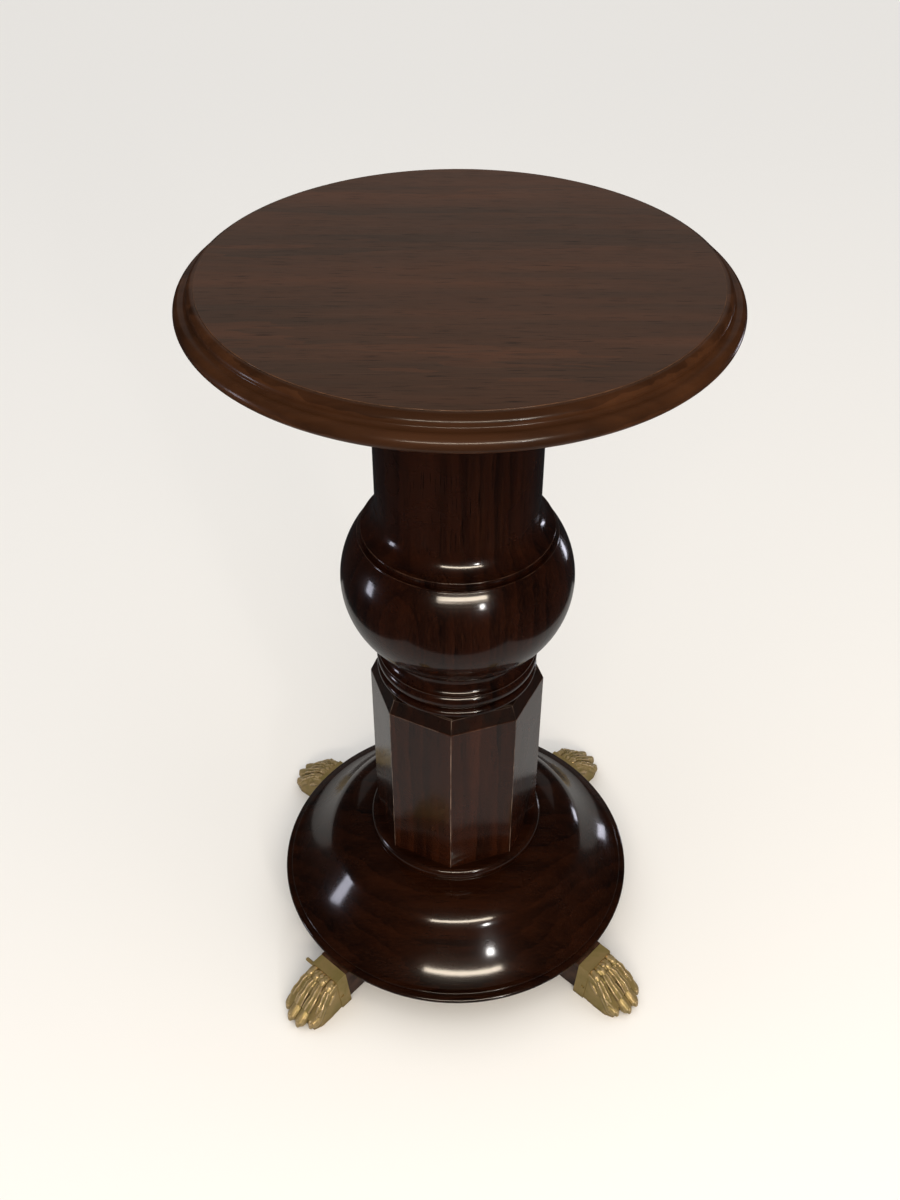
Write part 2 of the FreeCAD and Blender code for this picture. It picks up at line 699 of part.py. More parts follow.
def placed(shape, name):
    """A foot's shape moved in and turned to that foot's direction."""
    angle, inset = FOOT_PLACES[name]
    copy = shape.copy()
    copy.translate(FreeCAD.Vector(-inset, 0, 0))
    copy.rotate(ORIGIN, UP, angle)
    return copy


def cap_pins():
    """Two pins a cap; the outer one of the front left cap has worked out."""
    pins = []
    for name in FOOT_PLACES:
        for side, height, proud in pin_settings(name):
            pins.append(placed(pin(side, height, proud), name))
    return Part.makeCompound(pins)


def nodes():
    shapes = {
        "table_top": table_top(),
        "top_bearer": top_bearer(),
        "bearer_screws": bearer_screws(),
        "upper_shaft": upper_shaft(),
        "shaft_wedge": shaft_wedge(),
        "bulb": bulb(),
        "neck_collar": neck_collar(),
        "octagonal_block": octagonal_block(),
        "base_wedge": base_wedge(),
        "base_dome": base_dome(),
        "base_board": base_board(),
        "board_screws": board_screws(),
        "foot_screws": foot_screws(),
        "cap_pins": cap_pins(),
    }
    for name in FOOT_PLACES:
        shapes["foot_block_" + name] = placed(foot_block(name), name)
        shapes["paw_cap_" + name] = placed(paw_cap(name), name)
    return shapes


def main():
    os.makedirs("parts", exist_ok=True)
    for name, shape in nodes().items():
        shape.exportStep("parts/" + name + ".step")


main()
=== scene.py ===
"""Round pedestal table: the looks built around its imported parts.

A moulded round top stands on a turned shaft, bulb and neck over an octagonal
block, and a turned ogee base on four wooden feet in cast brass lion-paw caps.
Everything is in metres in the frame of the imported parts: +Z up, the origin on
the floor on the column's axis, and the side the table is seen from at -Y.
"""

import logging
import math
from dataclasses import dataclass, field
from enum import Enum
from typing import ClassVar

import bmesh
import bpy
import numpy as np
from mathutils import Matrix, Vector


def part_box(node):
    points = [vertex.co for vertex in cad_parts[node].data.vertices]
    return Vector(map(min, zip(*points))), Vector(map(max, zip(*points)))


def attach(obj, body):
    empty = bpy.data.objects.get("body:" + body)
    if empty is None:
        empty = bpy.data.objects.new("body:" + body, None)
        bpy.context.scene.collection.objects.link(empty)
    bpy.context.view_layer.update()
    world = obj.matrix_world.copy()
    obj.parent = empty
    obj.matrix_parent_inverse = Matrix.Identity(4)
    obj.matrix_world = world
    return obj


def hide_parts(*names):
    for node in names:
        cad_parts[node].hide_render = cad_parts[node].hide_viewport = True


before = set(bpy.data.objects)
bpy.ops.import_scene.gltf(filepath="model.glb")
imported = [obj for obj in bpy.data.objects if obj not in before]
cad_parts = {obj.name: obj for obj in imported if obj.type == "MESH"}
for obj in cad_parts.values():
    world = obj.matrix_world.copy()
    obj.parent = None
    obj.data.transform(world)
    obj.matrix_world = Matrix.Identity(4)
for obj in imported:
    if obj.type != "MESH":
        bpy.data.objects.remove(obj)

LOG = logging.getLogger("pedestal_table")
MM = 0.001
Colour = tuple[float, float, float]
Point = tuple[float, float]
Socket = bpy.types.NodeSocket
Feed = bpy.types.NodeSocket | float
ColourFeed = bpy.types.NodeSocket | Colour


class Grain(Enum):
    """Direction the fibres of a wooden piece run in."""

    ACROSS = "x"
    UPRIGHT = "z"
    OUTWARD = "foot"


# ------------------------------------------------------------------ node bench
class Bench:
    """Short way to put nodes into a tree and join them up."""

    def __init__(self, tree: bpy.types.NodeTree) -> None:
        """Takes the tree that the nodes go into.

        Args:
            tree: the shader or geometry tree.
        """
        self.tree = tree

    def add(self, kind: str, feeds: dict | None = None, **settings) -> bpy.types.Node:
        """Adds one node.

        Args:
            kind: the node's type name.
            feeds: what goes into its inputs, by input name or number: a socket or a value.
            **settings: the node's own settings.

        Returns:
            The new node.
        """
        node = self.tree.nodes.new(kind)
        for name, value in settings.items():
            setattr(node, name, value)
        for key, value in (feeds or {}).items():
            socket = node.inputs[key]
            if isinstance(value, bpy.types.NodeSocket):
                self.tree.links.new(value, socket)
            else:
                socket.default_value = value
        return node

    def math(self, operation: str, first: Feed, second: Feed = 0.0) -> Socket:
        """Adds a Math node and returns its result.

        Args:
            operation: the operation's name.
            first: a socket or a number.
            second: a socket or a number.

        Returns:
            The result's socket.
        """
        kind = "ShaderNodeMath"
        return self.add(kind, {0: first, 1: second}, operation=operation).outputs[0]

    def blend(self, share: Feed, low: ColourFeed, high: ColourFeed, mode: str = "MIX") -> Socket:
        """Adds a colour Mix node and returns its result.

        Args:
            share: how much of the second colour, a socket or a number.
            low: the first colour or a socket.
            high: the second colour or a socket.
            mode: the blend mode.

        Returns:
            The mixed colour's socket.
        """
        colours = [c if isinstance(c, bpy.types.NodeSocket) else (*c, 1.0) for c in (low, high)]
        node = self.add("ShaderNodeMix", {0: share, 6: colours[0], 7: colours[1]},
                        data_type="RGBA", blend_type=mode)
        return node.outputs[2]

    def spread(self, value: Feed, low: float, high: float, to_low: float, to_high: float) -> Socket:
        """Adds a clamped Map Range node and returns its result.

        Args:
            value: the socket to map.
            low: where the mapping starts.
            high: where it ends.
            to_low: the result at the start.
            to_high: the result at the end.

        Returns:
            The mapped value's socket.
        """
        feeds = {0: value, 1: low, 2: high, 3: to_low, 4: to_high}
        return self.add("ShaderNodeMapRange", feeds, clamp=True).outputs[0]

    def noise(self, place: Socket, scale: float, detail: float = 3.0, twist: float = 0.0) -> Socket:
        """Adds a Noise Texture and returns its value.

        Args:
            place: the coordinates' socket.
            scale: the pattern's scale.
            detail: octaves of detail.
            twist: how far the pattern is distorted.

        Returns:
            The noise value's socket.
        """
        feeds = {"Vector": place, "Scale": scale, "Detail": detail, "Distortion": twist}
        return self.add("ShaderNodeTexNoise", feeds).outputs[0]

    def bump(self, height: Feed, depth: float, under: Socket | None = None) -> Socket:
        """Adds a Bump node and returns its normal.

        Args:
            height: the height's socket, 0 to 1.
            depth: what a height of 1 stands for, in metres.
            under: the normal of the layer below, if there is one.

        Returns:
            The normal's socket.
        """
        feeds = {"Strength": 1.0, "Distance": depth, "Height": height}
        if under is not None:
            feeds["Normal"] = under
        return self.add("ShaderNodeBump", feeds).outputs[0]


def new_material(name: str) -> tuple[bpy.types.Material, Bench, bpy.types.Node]:
    """Starts a node material with one Principled shader.

    Args:
        name: the material's name.

    Returns:
        The material, a bench on its tree, and the shader.
    """
    material = bpy.data.materials.new(name)
    material.use_nodes = True
    tree = material.node_tree
    tree.nodes.clear()
    bench = Bench(tree)
    shader = bench.add("ShaderNodeBsdfPrincipled")
    bench.add("ShaderNodeOutputMaterial", {"Surface": shader.outputs[0]})
    return material, bench, shader


def attribute(bench: Bench, name: str) -> Socket:
    """Value of one of the mesh's own attributes.

    Args:
        bench: the bench to add the node on.
        name: the attribute's name.

    Returns:
        The value's socket.
    """
    return bench.add("ShaderNodeAttribute", attribute_name=name).outputs["Fac"]


# ------------------------------------------------------------------ finishes
@dataclass(frozen=True)
class Mahogany:
    """Polished mahogany: ribbon figure, growth rings, fibres, filled pores.

    The coordinates are turned so that the fibres run along the piece's grain.
    """

    name: str
    grain: Grain
    deep: Colour
    warm: Colour
    pale: Colour
    rubbed: Colour
    rough: tuple[float, float]
    coat: float
    coat_rough: float
    ripple: float
    ring_scale: float = 22.0
    turn: float = 0.0
    streaks: float = 0.6
    shine: float = 0.1
    rim: Colour | None = None
    rim_from: float = 0.0
    RIM_DARK: ClassVar[float] = 0.3
    RIM_FADE: ClassVar[float] = 2.0 * MM
    shift: tuple[float, float, float] = (0.06, 0.11, 0.0)

    def fibres_upright(self, bench: Bench) -> Socket:
        """Object coordinates turned until the grain runs along Z.

        Args:
            bench: the bench to add nodes on.

        Returns:
            The coordinates' socket.
        """
        place = bench.add("ShaderNodeTexCoord").outputs["Object"]
        turns = {
            Grain.ACROSS: (0.0, math.pi / 2, 0.0),
            Grain.UPRIGHT: (0.0, 0.0, self.turn),
            Grain.OUTWARD: (0.0, math.pi / 2, 0.0),
        }
        if self.grain is Grain.OUTWARD:
            feeds = {"Vector": place, "Rotation": (0.0, 0.0, -self.turn)}
            place = bench.add("ShaderNodeMapping", feeds).outputs[0]
        feeds = {"Vector": place, "Rotation": turns[self.grain], "Location": self.shift}
        return bench.add("ShaderNodeMapping", feeds).outputs[0]

    def stretched(self, bench: Bench, place: Socket, share: float) -> Socket:
        """Coordinates that make a pattern long along the grain.

        Args:
            bench: the bench to add nodes on.
            place: the grain's coordinates.
            share: how much finer the pattern is across than along.

        Returns:
            The coordinates' socket.
        """
        feeds = {"Vector": place, "Scale": (1.0, 1.0, share)}
        return bench.add("ShaderNodeMapping", feeds).outputs[0]

    def build(self) -> bpy.types.Material:
        """Makes the material.

        Returns:
            The material.
        """
        material, bench, shader = new_material(self.name)
        place = self.fibres_upright(bench)
        broad = bench.noise(self.stretched(bench, place, 0.16), 9.0, 4.0, 0.8)
        ribbon = bench.noise(self.stretched(bench, place, 0.05), 62.0, 5.0, 0.4)
        fibre = bench.noise(self.stretched(bench, place, 0.03), 480.0, 4.0)
        pore = bench.noise(self.stretched(bench, place, 0.035), 1150.0, 2.0)
        rings = bench.add("ShaderNodeTexWave", {
            "Vector": self.stretched(bench, place, 0.12), "Scale": self.ring_scale,
            "Distortion": 4.5, "Detail": 3.0, "Detail Scale": 1.4, "Detail Roughness": 0.6},
            wave_type="RINGS", rings_direction="Z", wave_profile="SAW").outputs["Fac"]
        figure = bench.math("ADD", bench.math("MULTIPLY", broad, 0.55), bench.math("MULTIPLY", ribbon, 0.5))
        figure = bench.math("ADD", figure, bench.math("MULTIPLY", rings, 0.14))
        colour = bench.blend(bench.spread(figure, 0.38, 0.78, 0.0, 1.0), self.deep, self.warm)
        streak = bench.spread(fibre, 0.5, 0.72, 0.0, self.streaks)
        colour = bench.blend(streak, colour, self.pale)
        dash = bench.spread(pore, 0.6, 0.68, 0.0, 0.75)
        colour = bench.blend(dash, colour, tuple(0.3 * c for c in self.deep))
        if self.rim:
            middle = bench.add("ShaderNodeTexCoord").outputs["Object"]
            feeds = {"Vector": middle, "Scale": (1.0, 1.0, 0.0)}
            flat = bench.add("ShaderNodeMapping", feeds).outputs[0]
            far = bench.add("ShaderNodeVectorMath", {"Vector": flat}, operation="LENGTH").outputs["Value"]
            dark = tuple(self.RIM_DARK * c for c in self.rim)
            edge = bench.blend(bench.spread(figure, 0.4, 0.75, 0.0, 1.0), dark, self.rim)
            past = bench.spread(far, self.rim_from, self.rim_from + self.RIM_FADE, 0.0, 1.0)
            colour = bench.blend(past, colour, edge)
        scuff = bench.noise(place, 70.0, 5.0)
        # Rubbed colour where the wear mark is set: real wear, and on the planed octagon a painted arris
        # highlight.
        rub = bench.math("MULTIPLY", attribute(bench, "wear"), bench.spread(scuff, 0.4, 0.62, 0.12, 0.75))
        colour = bench.blend(rub, colour, self.rubbed)
        # Near-black where the grime mark is set: real grime in concave corners, and painted shade on the
        # octagon's top chamfer.
        shade_and_grime = bench.math("MULTIPLY", attribute(bench, "grime"), bench.spread(scuff, 0.3, 0.6, 0.95, 0.6))
        colour = bench.blend(shade_and_grime, colour, (0.006, 0.004, 0.003))
        bench.tree.links.new(colour, shader.inputs["Base Color"])
        smudge = bench.noise(place, 16.0, 6.0, 1.2)
        rough = bench.spread(smudge, 0.3, 0.72, *self.rough)
        rough = bench.math("ADD", rough, bench.math("MULTIPLY", shade_and_grime, 0.3))
        rough = bench.math("ADD", rough, bench.math("MULTIPLY", rub, 0.12))
        bench.tree.links.new(rough, shader.inputs["Roughness"])
        waves = bench.bump(bench.noise(place, 26.0, 2.0), self.ripple)
        sunk = bench.bump(bench.math("SUBTRACT", 1.0, dash), 0.00002, waves)
        sunk = bench.bump(fibre, 0.000006, sunk)
        bench.tree.links.new(sunk, shader.inputs["Normal"])
        bench.tree.links.new(waves, shader.inputs["Coat Normal"])
        shader.inputs["Coat Weight"].default_value = self.coat
        shader.inputs["Coat Roughness"].default_value = self.coat_rough
        shader.inputs["IOR"].default_value = 1.5
        shader.inputs["Specular IOR Level"].default_value = self.shine
        return material


@dataclass(frozen=True)
class BareWood:
    """Stained but unpolished wood for hidden blocks and wedges."""

    name: str = "bare stained mahogany"
    dark: Colour = (0.075, 0.032, 0.016)
    light: Colour = (0.19, 0.095, 0.05)

    def build(self) -> bpy.types.Material:
        """Makes the material.

        Returns:
            The material.
        """
        material, bench, shader = new_material(self.name)
        place = bench.add("ShaderNodeTexCoord").outputs["Object"]
        long = bench.add("ShaderNodeMapping", {"Vector": place, "Scale": (0.05, 1.0, 1.0)}).outputs[0]
        fibre = bench.noise(long, 380.0, 5.0)
        broad = bench.noise(long, 50.0, 4.0, 0.6)
        saw = bench.noise(place, 900.0, 2.0)
        share = bench.math("ADD", bench.math("MULTIPLY", fibre, 0.5), bench.math("MULTIPLY", broad, 0.5))
        colour = bench.blend(bench.spread(share, 0.35, 0.68, 0.0, 1.0), self.dark, self.light)
        stain = bench.spread(bench.noise(place, 22.0, 5.0), 0.45, 0.7, 0.0, 0.55)
        colour = bench.blend(stain, colour, (0.03, 0.014, 0.008))
        bench.tree.links.new(colour, shader.inputs["Base Color"])
        bench.tree.links.new(bench.spread(saw, 0.3, 0.7, 0.5, 0.8), shader.inputs["Roughness"])
        rough = bench.bump(fibre, 0.0001, bench.bump(saw, 0.00004))
        bench.tree.links.new(rough, shader.inputs["Normal"])
        return material


@dataclass(frozen=True)
class CastBrass:
    """Cast and tooled brass, dull and olive, rubbed pinkish gold where it is high; that pale colour also
    stands in as a painted highlight on the raised parts.
    """

    name: str = "aged cast brass"
    body: Colour = (0.42, 0.30, 0.125)
    olive: Colour = (0.31, 0.24, 0.085)
    rubbed: Colour = (0.74, 0.55, 0.33)
    recess: Colour = (0.045, 0.027, 0.009)

    def build(self) -> bpy.types.Material:
        """Makes the material.

        Returns:
            The material.
        """
        material, bench, shader = new_material(self.name)
        place = bench.add("ShaderNodeTexCoord").outputs["Object"]
        cloud = bench.noise(place, 55.0, 5.0, 0.5)
        grit = bench.noise(place, 620.0, 4.0)
        pits = bench.add("ShaderNodeTexVoronoi", {"Vector": place, "Scale": 520.0}).outputs["Distance"]
        colour = bench.blend(bench.spread(cloud, 0.36, 0.64, 0.0, 1.0), self.body, self.olive)
        # Pale pinkish gold on the raised parts: rubbed brass, and also painted highlights on the bumps.
        high = bench.math("MULTIPLY", attribute(bench, "wear"), bench.spread(grit, 0.3, 0.6, 0.55, 1.0))
        colour = bench.blend(high, colour, self.rubbed)
        low = bench.math("MULTIPLY", attribute(bench, "grime"), bench.spread(grit, 0.25, 0.6, 1.0, 0.75))
        colour = bench.blend(low, colour, self.recess)
        bench.tree.links.new(colour, shader.inputs["Base Color"])
        dull = bench.spread(cloud, 0.35, 0.65, 0.3, 0.44)
        dull = bench.math("ADD", dull, bench.math("MULTIPLY", low, 0.3))
        dull = bench.math("SUBTRACT", dull, bench.math("MULTIPLY", high, 0.1))
        bench.tree.links.new(dull, shader.inputs["Roughness"])
        metal = bench.math("SUBTRACT", 0.65, bench.math("MULTIPLY", low, 0.35))
        bench.tree.links.new(metal, shader.inputs["Metallic"])
        skin = bench.bump(bench.noise(place, 170.0, 3.0), 0.00016)
        skin = bench.bump(grit, 0.00006, skin)
        skin = bench.bump(bench.spread(pits, 0.0, 0.35, 0.0, 1.0), 0.00008, skin)
        bench.tree.links.new(skin, shader.inputs["Normal"])
        return material


@dataclass(frozen=True)
class AgedSteel:
    """Dull screw steel with turning lines and brown spots."""

    name: str = "aged screw steel"

    def build(self) -> bpy.types.Material:
        """Makes the material.

        Returns:
            The material.
        """
        material, bench, shader = new_material(self.name)
        place = bench.add("ShaderNodeTexCoord").outputs["Object"]
        spots = bench.spread(bench.noise(place, 420.0, 5.0), 0.5, 0.64, 0.0, 1.0)
        colour = bench.blend(spots, (0.33, 0.31, 0.29), (0.12, 0.06, 0.03))
        bench.tree.links.new(colour, shader.inputs["Base Color"])
        bench.tree.links.new(bench.spread(spots, 0.0, 1.0, 0.35, 0.75), shader.inputs["Roughness"])
        bench.tree.links.new(bench.spread(spots, 0.0, 1.0, 1.0, 0.3), shader.inputs["Metallic"])
        skin = bench.bump(bench.noise(place, 1500.0, 2.0), 0.00003)
        bench.tree.links.new(skin, shader.inputs["Normal"])
        return material


@dataclass(frozen=True)
class PaleFloor:
    """Plain matte floor."""

    name: str = "pale studio floor"
    colour: Colour = (0.86, 0.85, 0.835)

    def build(self) -> bpy.types.Material:
        """Makes the material.

        Returns:
            The material.
        """
        material, _, shader = new_material(self.name)
        shader.inputs["Base Color"].default_value = (*self.colour, 1.0)
        shader.inputs["Roughness"].default_value = 0.9
        shader.inputs["Specular IOR Level"].default_value = 0.0
        return material


# ------------------------------------------------------------------ outlines
class Outline:
    """Outline of a turned piece in radius and height, drawn counterclockwise.

    It starts low at the axis or a bore, runs outwards, up the visible side
    and back in. Each corner may be softened; convex ones are marked as worn
    and concave ones as grimy.
    """

    SOFT_STEPS = 4
    GUARD = 0.8 * MM
    FLAT = 3.0 * MM

    def __init__(self, radius: float, height: float) -> None:
        """Starts the outline.

        Args:
            radius: the first point's radius.
            height: the first point's height.
        """
        self.corners: list[tuple[float, float, float]] = [(radius, height, 0.0)]
        self.closed = False

    def to(self, radius: float, height: float, soft: float = 0.0) -> "Outline":
        """Straight line to a corner.

        Args:
            radius: the corner's radius.
            height: the corner's height.
            soft: how far from the corner its rounding begins.

        Returns:
            The outline itself.
        """
        self.corners.append((radius, height, soft))
        return self

    def along(self, points: list[Point]) -> "Outline":
        """Follows a smooth curve through many points.

        Args:
            points: the points after the current one.

        Returns:
            The outline itself.
        """
        self.corners += [(radius, height, 0.0) for radius, height in points]
        return self

    def close(self) -> "Outline":
        """Joins the last point to the first, for a piece with a bore.

        Returns:
            The outline itself.
        """
        self.closed = True
        return self

    def softened(self) -> tuple[list[Point], list[float], list[float]]:
        """Rounds the corners and guards the flats beside them.

        Returns:
            The points, and how worn and how grimy each is.
        """
        rows: list[tuple[float, float, float, float]] = []
        count = len(self.corners)
        for index, (radius, height, soft) in enumerate(self.corners):
            here = np.array((radius, height))
            inner = self.closed or 0 < index < count - 1
            if not inner:
                rows.append((radius, height, 0.0, 0.0))
                continue
            back = np.array(self.corners[index - 1][:2]) - here
            ahead = np.array(self.corners[(index + 1) % count][:2]) - here
            near, far = np.linalg.norm(back), np.linalg.norm(ahead)
            back, ahead = back / near, ahead / far
            turn = back[0] * ahead[1] - back[1] * ahead[0]
            if near > self.FLAT:
                rows.append((*(here + back * (min(soft, 0.45 * near) + self.GUARD)), 0.0, 0.0))
            if soft == 0.0:
                rows.append((radius, height, 0.0, 0.0))
            else:
                start = back * min(soft, 0.45 * near)
                end = ahead * min(soft, 0.45 * far)
                for step in range(self.SOFT_STEPS + 1):
                    share = step / self.SOFT_STEPS
                    spot = here + start * (1 - share) ** 2 + end * share ** 2
                    mark = math.sin(math.pi * share) * min(1.0, abs(turn) * 1.4)
                    rows.append((*spot, mark if turn < 0 else 0.0, mark if turn > 0 else 0.0))
            if far > self.FLAT:
                rows.append((*(here + ahead * (min(soft, 0.45 * far) + self.GUARD)), 0.0, 0.0))
        if self.closed:
            rows.append(rows[0])
        points = [(row[0], row[1]) for row in rows]
        return points, [row[2] for row in rows], [row[3] for row in rows]


def arc(start: Point, middle: Point, end: Point, steps: int) -> list[Point]:
    """Points of the circular arc through three points, without the first.

    Args:
        start: where the arc starts.
        middle: a point on the way.
        end: where it ends.
        steps: how many points are returned.

    Returns:
        The points.
    """
    (ax, ay), (bx, by), (cx, cy) = start, middle, end
    twice = 2 * (ax * (by - cy) + bx * (cy - ay) + cx * (ay - by))
    a2, b2, c2 = ax * ax + ay * ay, bx * bx + by * by, cx * cx + cy * cy
    ox = (a2 * (by - cy) + b2 * (cy - ay) + c2 * (ay - by)) / twice
    oy = (a2 * (cx - bx) + b2 * (ax - cx) + c2 * (bx - ax)) / twice
    first = math.atan2(ay - oy, ax - ox)
    way = (math.atan2(by - oy, bx - ox) - first) % math.tau
    sweep = (math.atan2(cy - oy, cx - ox) - first) % math.tau
    if way > sweep:
        sweep -= math.tau
    reach = math.hypot(ax - ox, ay - oy)
    angles = [first + sweep * step / steps for step in range(1, steps + 1)]
    return [(ox + reach * math.cos(a), oy + reach * math.sin(a)) for a in angles]


def quarter(start: Point, end: Point, upright_first: bool, steps: int = 8) -> list[Point]:
    """Points of a quarter-round between two corners of its box.

    Args:
        start: where it starts.
        end: where it ends.
        upright_first: whether it leaves the start upright.
        steps: how many points are returned.

    Returns:
        The points after the start.
    """
    points = []
    for step in range(1, steps + 1):
        angle = math.pi / 2 * step / steps
        low, high = math.sin(angle), 1 - math.cos(angle)
        across, up = (high, low) if upright_first else (low, high)
        points.append((start[0] + (end[0] - start[0]) * across, start[1] + (end[1] - start[1]) * up))
    return points


def bead(start: Point, end: Point, bulge: float, steps: int = 12) -> list[Point]:
    """Points of a bead that bulges outwards between two points.

    Args:
        start: where it starts.
        end: where it ends.
        bulge: how far it stands out past the outer of the two.
        steps: how many points are returned.

    Returns:
        The points after the start.
    """
    middle = (max(start[0], end[0]) + bulge, (start[1] + end[1]) / 2)
    return arc(start, middle, end, steps)


# ------------------------------------------------------------------ geometry trees
def turning_tree() -> bpy.types.NodeTree:
    """Tree that turns an outline of points about the upright axis.

    The incoming mesh is the outline, its points in order with X as radius.
    Inputs: Facets, how many steps make the round, and Finish.

    Returns:
        The tree.
    """
    tree = bpy.data.node_groups.new("Turn an outline", "GeometryNodeTree")
    face = tree.interface
    face.new_socket("Geometry", in_out="INPUT", socket_type="NodeSocketGeometry")
    face.new_socket("Facets", in_out="INPUT", socket_type="NodeSocketInt")
    face.new_socket("Finish", in_out="INPUT", socket_type="NodeSocketMaterial")
    face.new_socket("Geometry", in_out="OUTPUT", socket_type="NodeSocketGeometry")
    bench = Bench(tree)
    given = bench.add("NodeGroupInput").outputs
    size = bench.add("GeometryNodeAttributeDomainSize", {"Geometry": given["Geometry"]})
    count = size.outputs["Point Count"]
    columns = bench.math("ADD", given["Facets"], 1.0)
    grid = bench.add("GeometryNodeMeshGrid", {"Vertices X": columns, "Vertices Y": count}).outputs[0]
    index = bench.add("GeometryNodeInputIndex").outputs[0]
    row = bench.math("MODULO", index, count)
    column = bench.math("FLOOR", bench.math("DIVIDE", bench.math("ADD", index, 0.5), count))
    angle = bench.math("MULTIPLY", bench.math("DIVIDE", column, given["Facets"]), math.tau)
    position = bench.add("GeometryNodeInputPosition").outputs[0]
    sample = bench.add("GeometryNodeSampleIndex", data_type="FLOAT_VECTOR")
    tree.links.new(given["Geometry"], sample.inputs["Geometry"])
    tree.links.new(position, sample.inputs["Value"])
    tree.links.new(row, sample.inputs["Index"])
    spot = bench.add("ShaderNodeSeparateXYZ", {0: sample.outputs[0]}).outputs
    across = bench.math("MULTIPLY", spot[0], bench.math("COSINE", angle))
    along = bench.math("MULTIPLY", spot[0], bench.math("SINE", angle))
    place = bench.add("ShaderNodeCombineXYZ", {0: across, 1: along, 2: spot[2]}).outputs[0]
    mesh = bench.add("GeometryNodeSetPosition", {"Geometry": grid, "Position": place}).outputs[0]
    for name in ("wear", "grime"):
        read = bench.add("GeometryNodeInputNamedAttribute", {"Name": name}, data_type="FLOAT").outputs[0]
        pick = bench.add("GeometryNodeSampleIndex", data_type="FLOAT")
        tree.links.new(given["Geometry"], pick.inputs["Geometry"])
        tree.links.new(read, pick.inputs["Value"])
        tree.links.new(row, pick.inputs["Index"])
        feeds = {"Geometry": mesh, "Name": name, "Value": pick.outputs[0]}
        store = bench.add("GeometryNodeStoreNamedAttribute", feeds, data_type="FLOAT", domain="POINT")
        mesh = store.outputs[0]
    mesh = bench.add("GeometryNodeMergeByDistance", {"Geometry": mesh, "Distance": 0.002 * MM}).outputs[0]
    mesh = bench.add("GeometryNodeSetShadeSmooth", {"Geometry": mesh}).outputs[0]
    mesh = bench.add("GeometryNodeRealizeInstances", {"Geometry": mesh}).outputs[0]
    feeds = {"Geometry": mesh, "Material": given["Finish"]}
    mesh = bench.add("GeometryNodeSetMaterial", feeds).outputs[0]
    bench.add("NodeGroupOutput", {"Geometry": mesh})
    return tree


def fixing_tree() -> bpy.types.NodeTree:
    """Tree that sets one fixing on every point, aimed and turned at random.

    Each point's "aim" is the direction of the fixing's own +Z. Inputs:
    Fixing, the object to repeat; Seed; and Finish.

    Returns:
        The tree.
    """
    tree = bpy.data.node_groups.new("Set fixings", "GeometryNodeTree")
    face = tree.interface
    face.new_socket("Geometry", in_out="INPUT", socket_type="NodeSocketGeometry")
    face.new_socket("Fixing", in_out="INPUT", socket_type="NodeSocketObject")
    face.new_socket("Seed", in_out="INPUT", socket_type="NodeSocketInt")
    face.new_socket("Finish", in_out="INPUT", socket_type="NodeSocketMaterial")
    face.new_socket("Geometry", in_out="OUTPUT", socket_type="NodeSocketGeometry")
    bench = Bench(tree)
    given = bench.add("NodeGroupInput").outputs
    shape = bench.add("GeometryNodeObjectInfo", {"Object": given["Fixing"]}, transform_space="ORIGINAL")
    aim = bench.add("GeometryNodeInputNamedAttribute", {"Name": "aim"}, data_type="FLOAT_VECTOR").outputs[0]
    lean = bench.add("FunctionNodeAlignRotationToVector", {"Vector": aim}, axis="Z").outputs[0]
    turn = bench.add("FunctionNodeRandomValue", {"Seed": given["Seed"]}, data_type="FLOAT")
    turn.inputs[2].default_value = 0.0
    turn.inputs[3].default_value = math.tau
    points = bench.add("GeometryNodeMeshToPoints", {"Mesh": given["Geometry"]}).outputs[0]
    feeds = {"Points": points, "Instance": shape.outputs["Geometry"], "Rotation": lean}
    copies = bench.add("GeometryNodeInstanceOnPoints", feeds).outputs[0]
    spin = bench.add("ShaderNodeCombineXYZ", {2: turn.outputs[1]}).outputs[0]
    feeds = {"Instances": copies, "Rotation": spin, "Local Space": True}
    copies = bench.add("GeometryNodeRotateInstances", feeds).outputs[0]
    mesh = bench.add("GeometryNodeRealizeInstances", {"Geometry": copies}).outputs[0]
    feeds = {"Geometry": mesh, "Material": given["Finish"]}
    mesh = bench.add("GeometryNodeSetMaterial", feeds).outputs[0]
    bench.add("NodeGroupOutput", {"Geometry": mesh})
    return tree


def run_tree(tree: bpy.types.NodeTree, source: bpy.types.Mesh, settings: dict) -> bpy.types.Mesh:
    """Runs a geometry tree on a mesh and keeps the result as a plain mesh.

    Args:
        tree: the tree to run.
        source: the mesh that goes in.
        settings: values of the tree's named inputs.

    Returns:
        The baked mesh.
    """
    holder = bpy.data.objects.new("bench", source)
    bpy.context.scene.collection.objects.link(holder)
    modifier = holder.modifiers.new("tree", "NODES")
    modifier.node_group = tree
    names = {item.name: item.identifier for item in tree.interface.items_tree if item.in_out == "INPUT"}
    for name, value in settings.items():
        modifier[names[name]] = value
    graph = bpy.context.evaluated_depsgraph_get()
    graph.update()
    mesh = bpy.data.meshes.new_from_object(holder.evaluated_get(graph), depsgraph=graph)
    holder.modifiers.clear()
    bpy.data.objects.remove(holder)
    return mesh


# ------------------------------------------------------------------ mesh helpers
def facing_out(mesh: bpy.types.Mesh) -> bpy.types.Mesh:
    """Turns a closed mesh's faces until they all point outwards.

    Args:
        mesh: the mesh to mend.

    Returns:
        The same mesh.
    """
    work = bmesh.new()
    work.from_mesh(mesh)
    bmesh.ops.recalc_face_normals(work, faces=work.faces)
    if work.calc_volume(signed=True) < 0:
        bmesh.ops.reverse_faces(work, faces=work.faces)
    work.to_mesh(mesh)
    work.free()
    return mesh


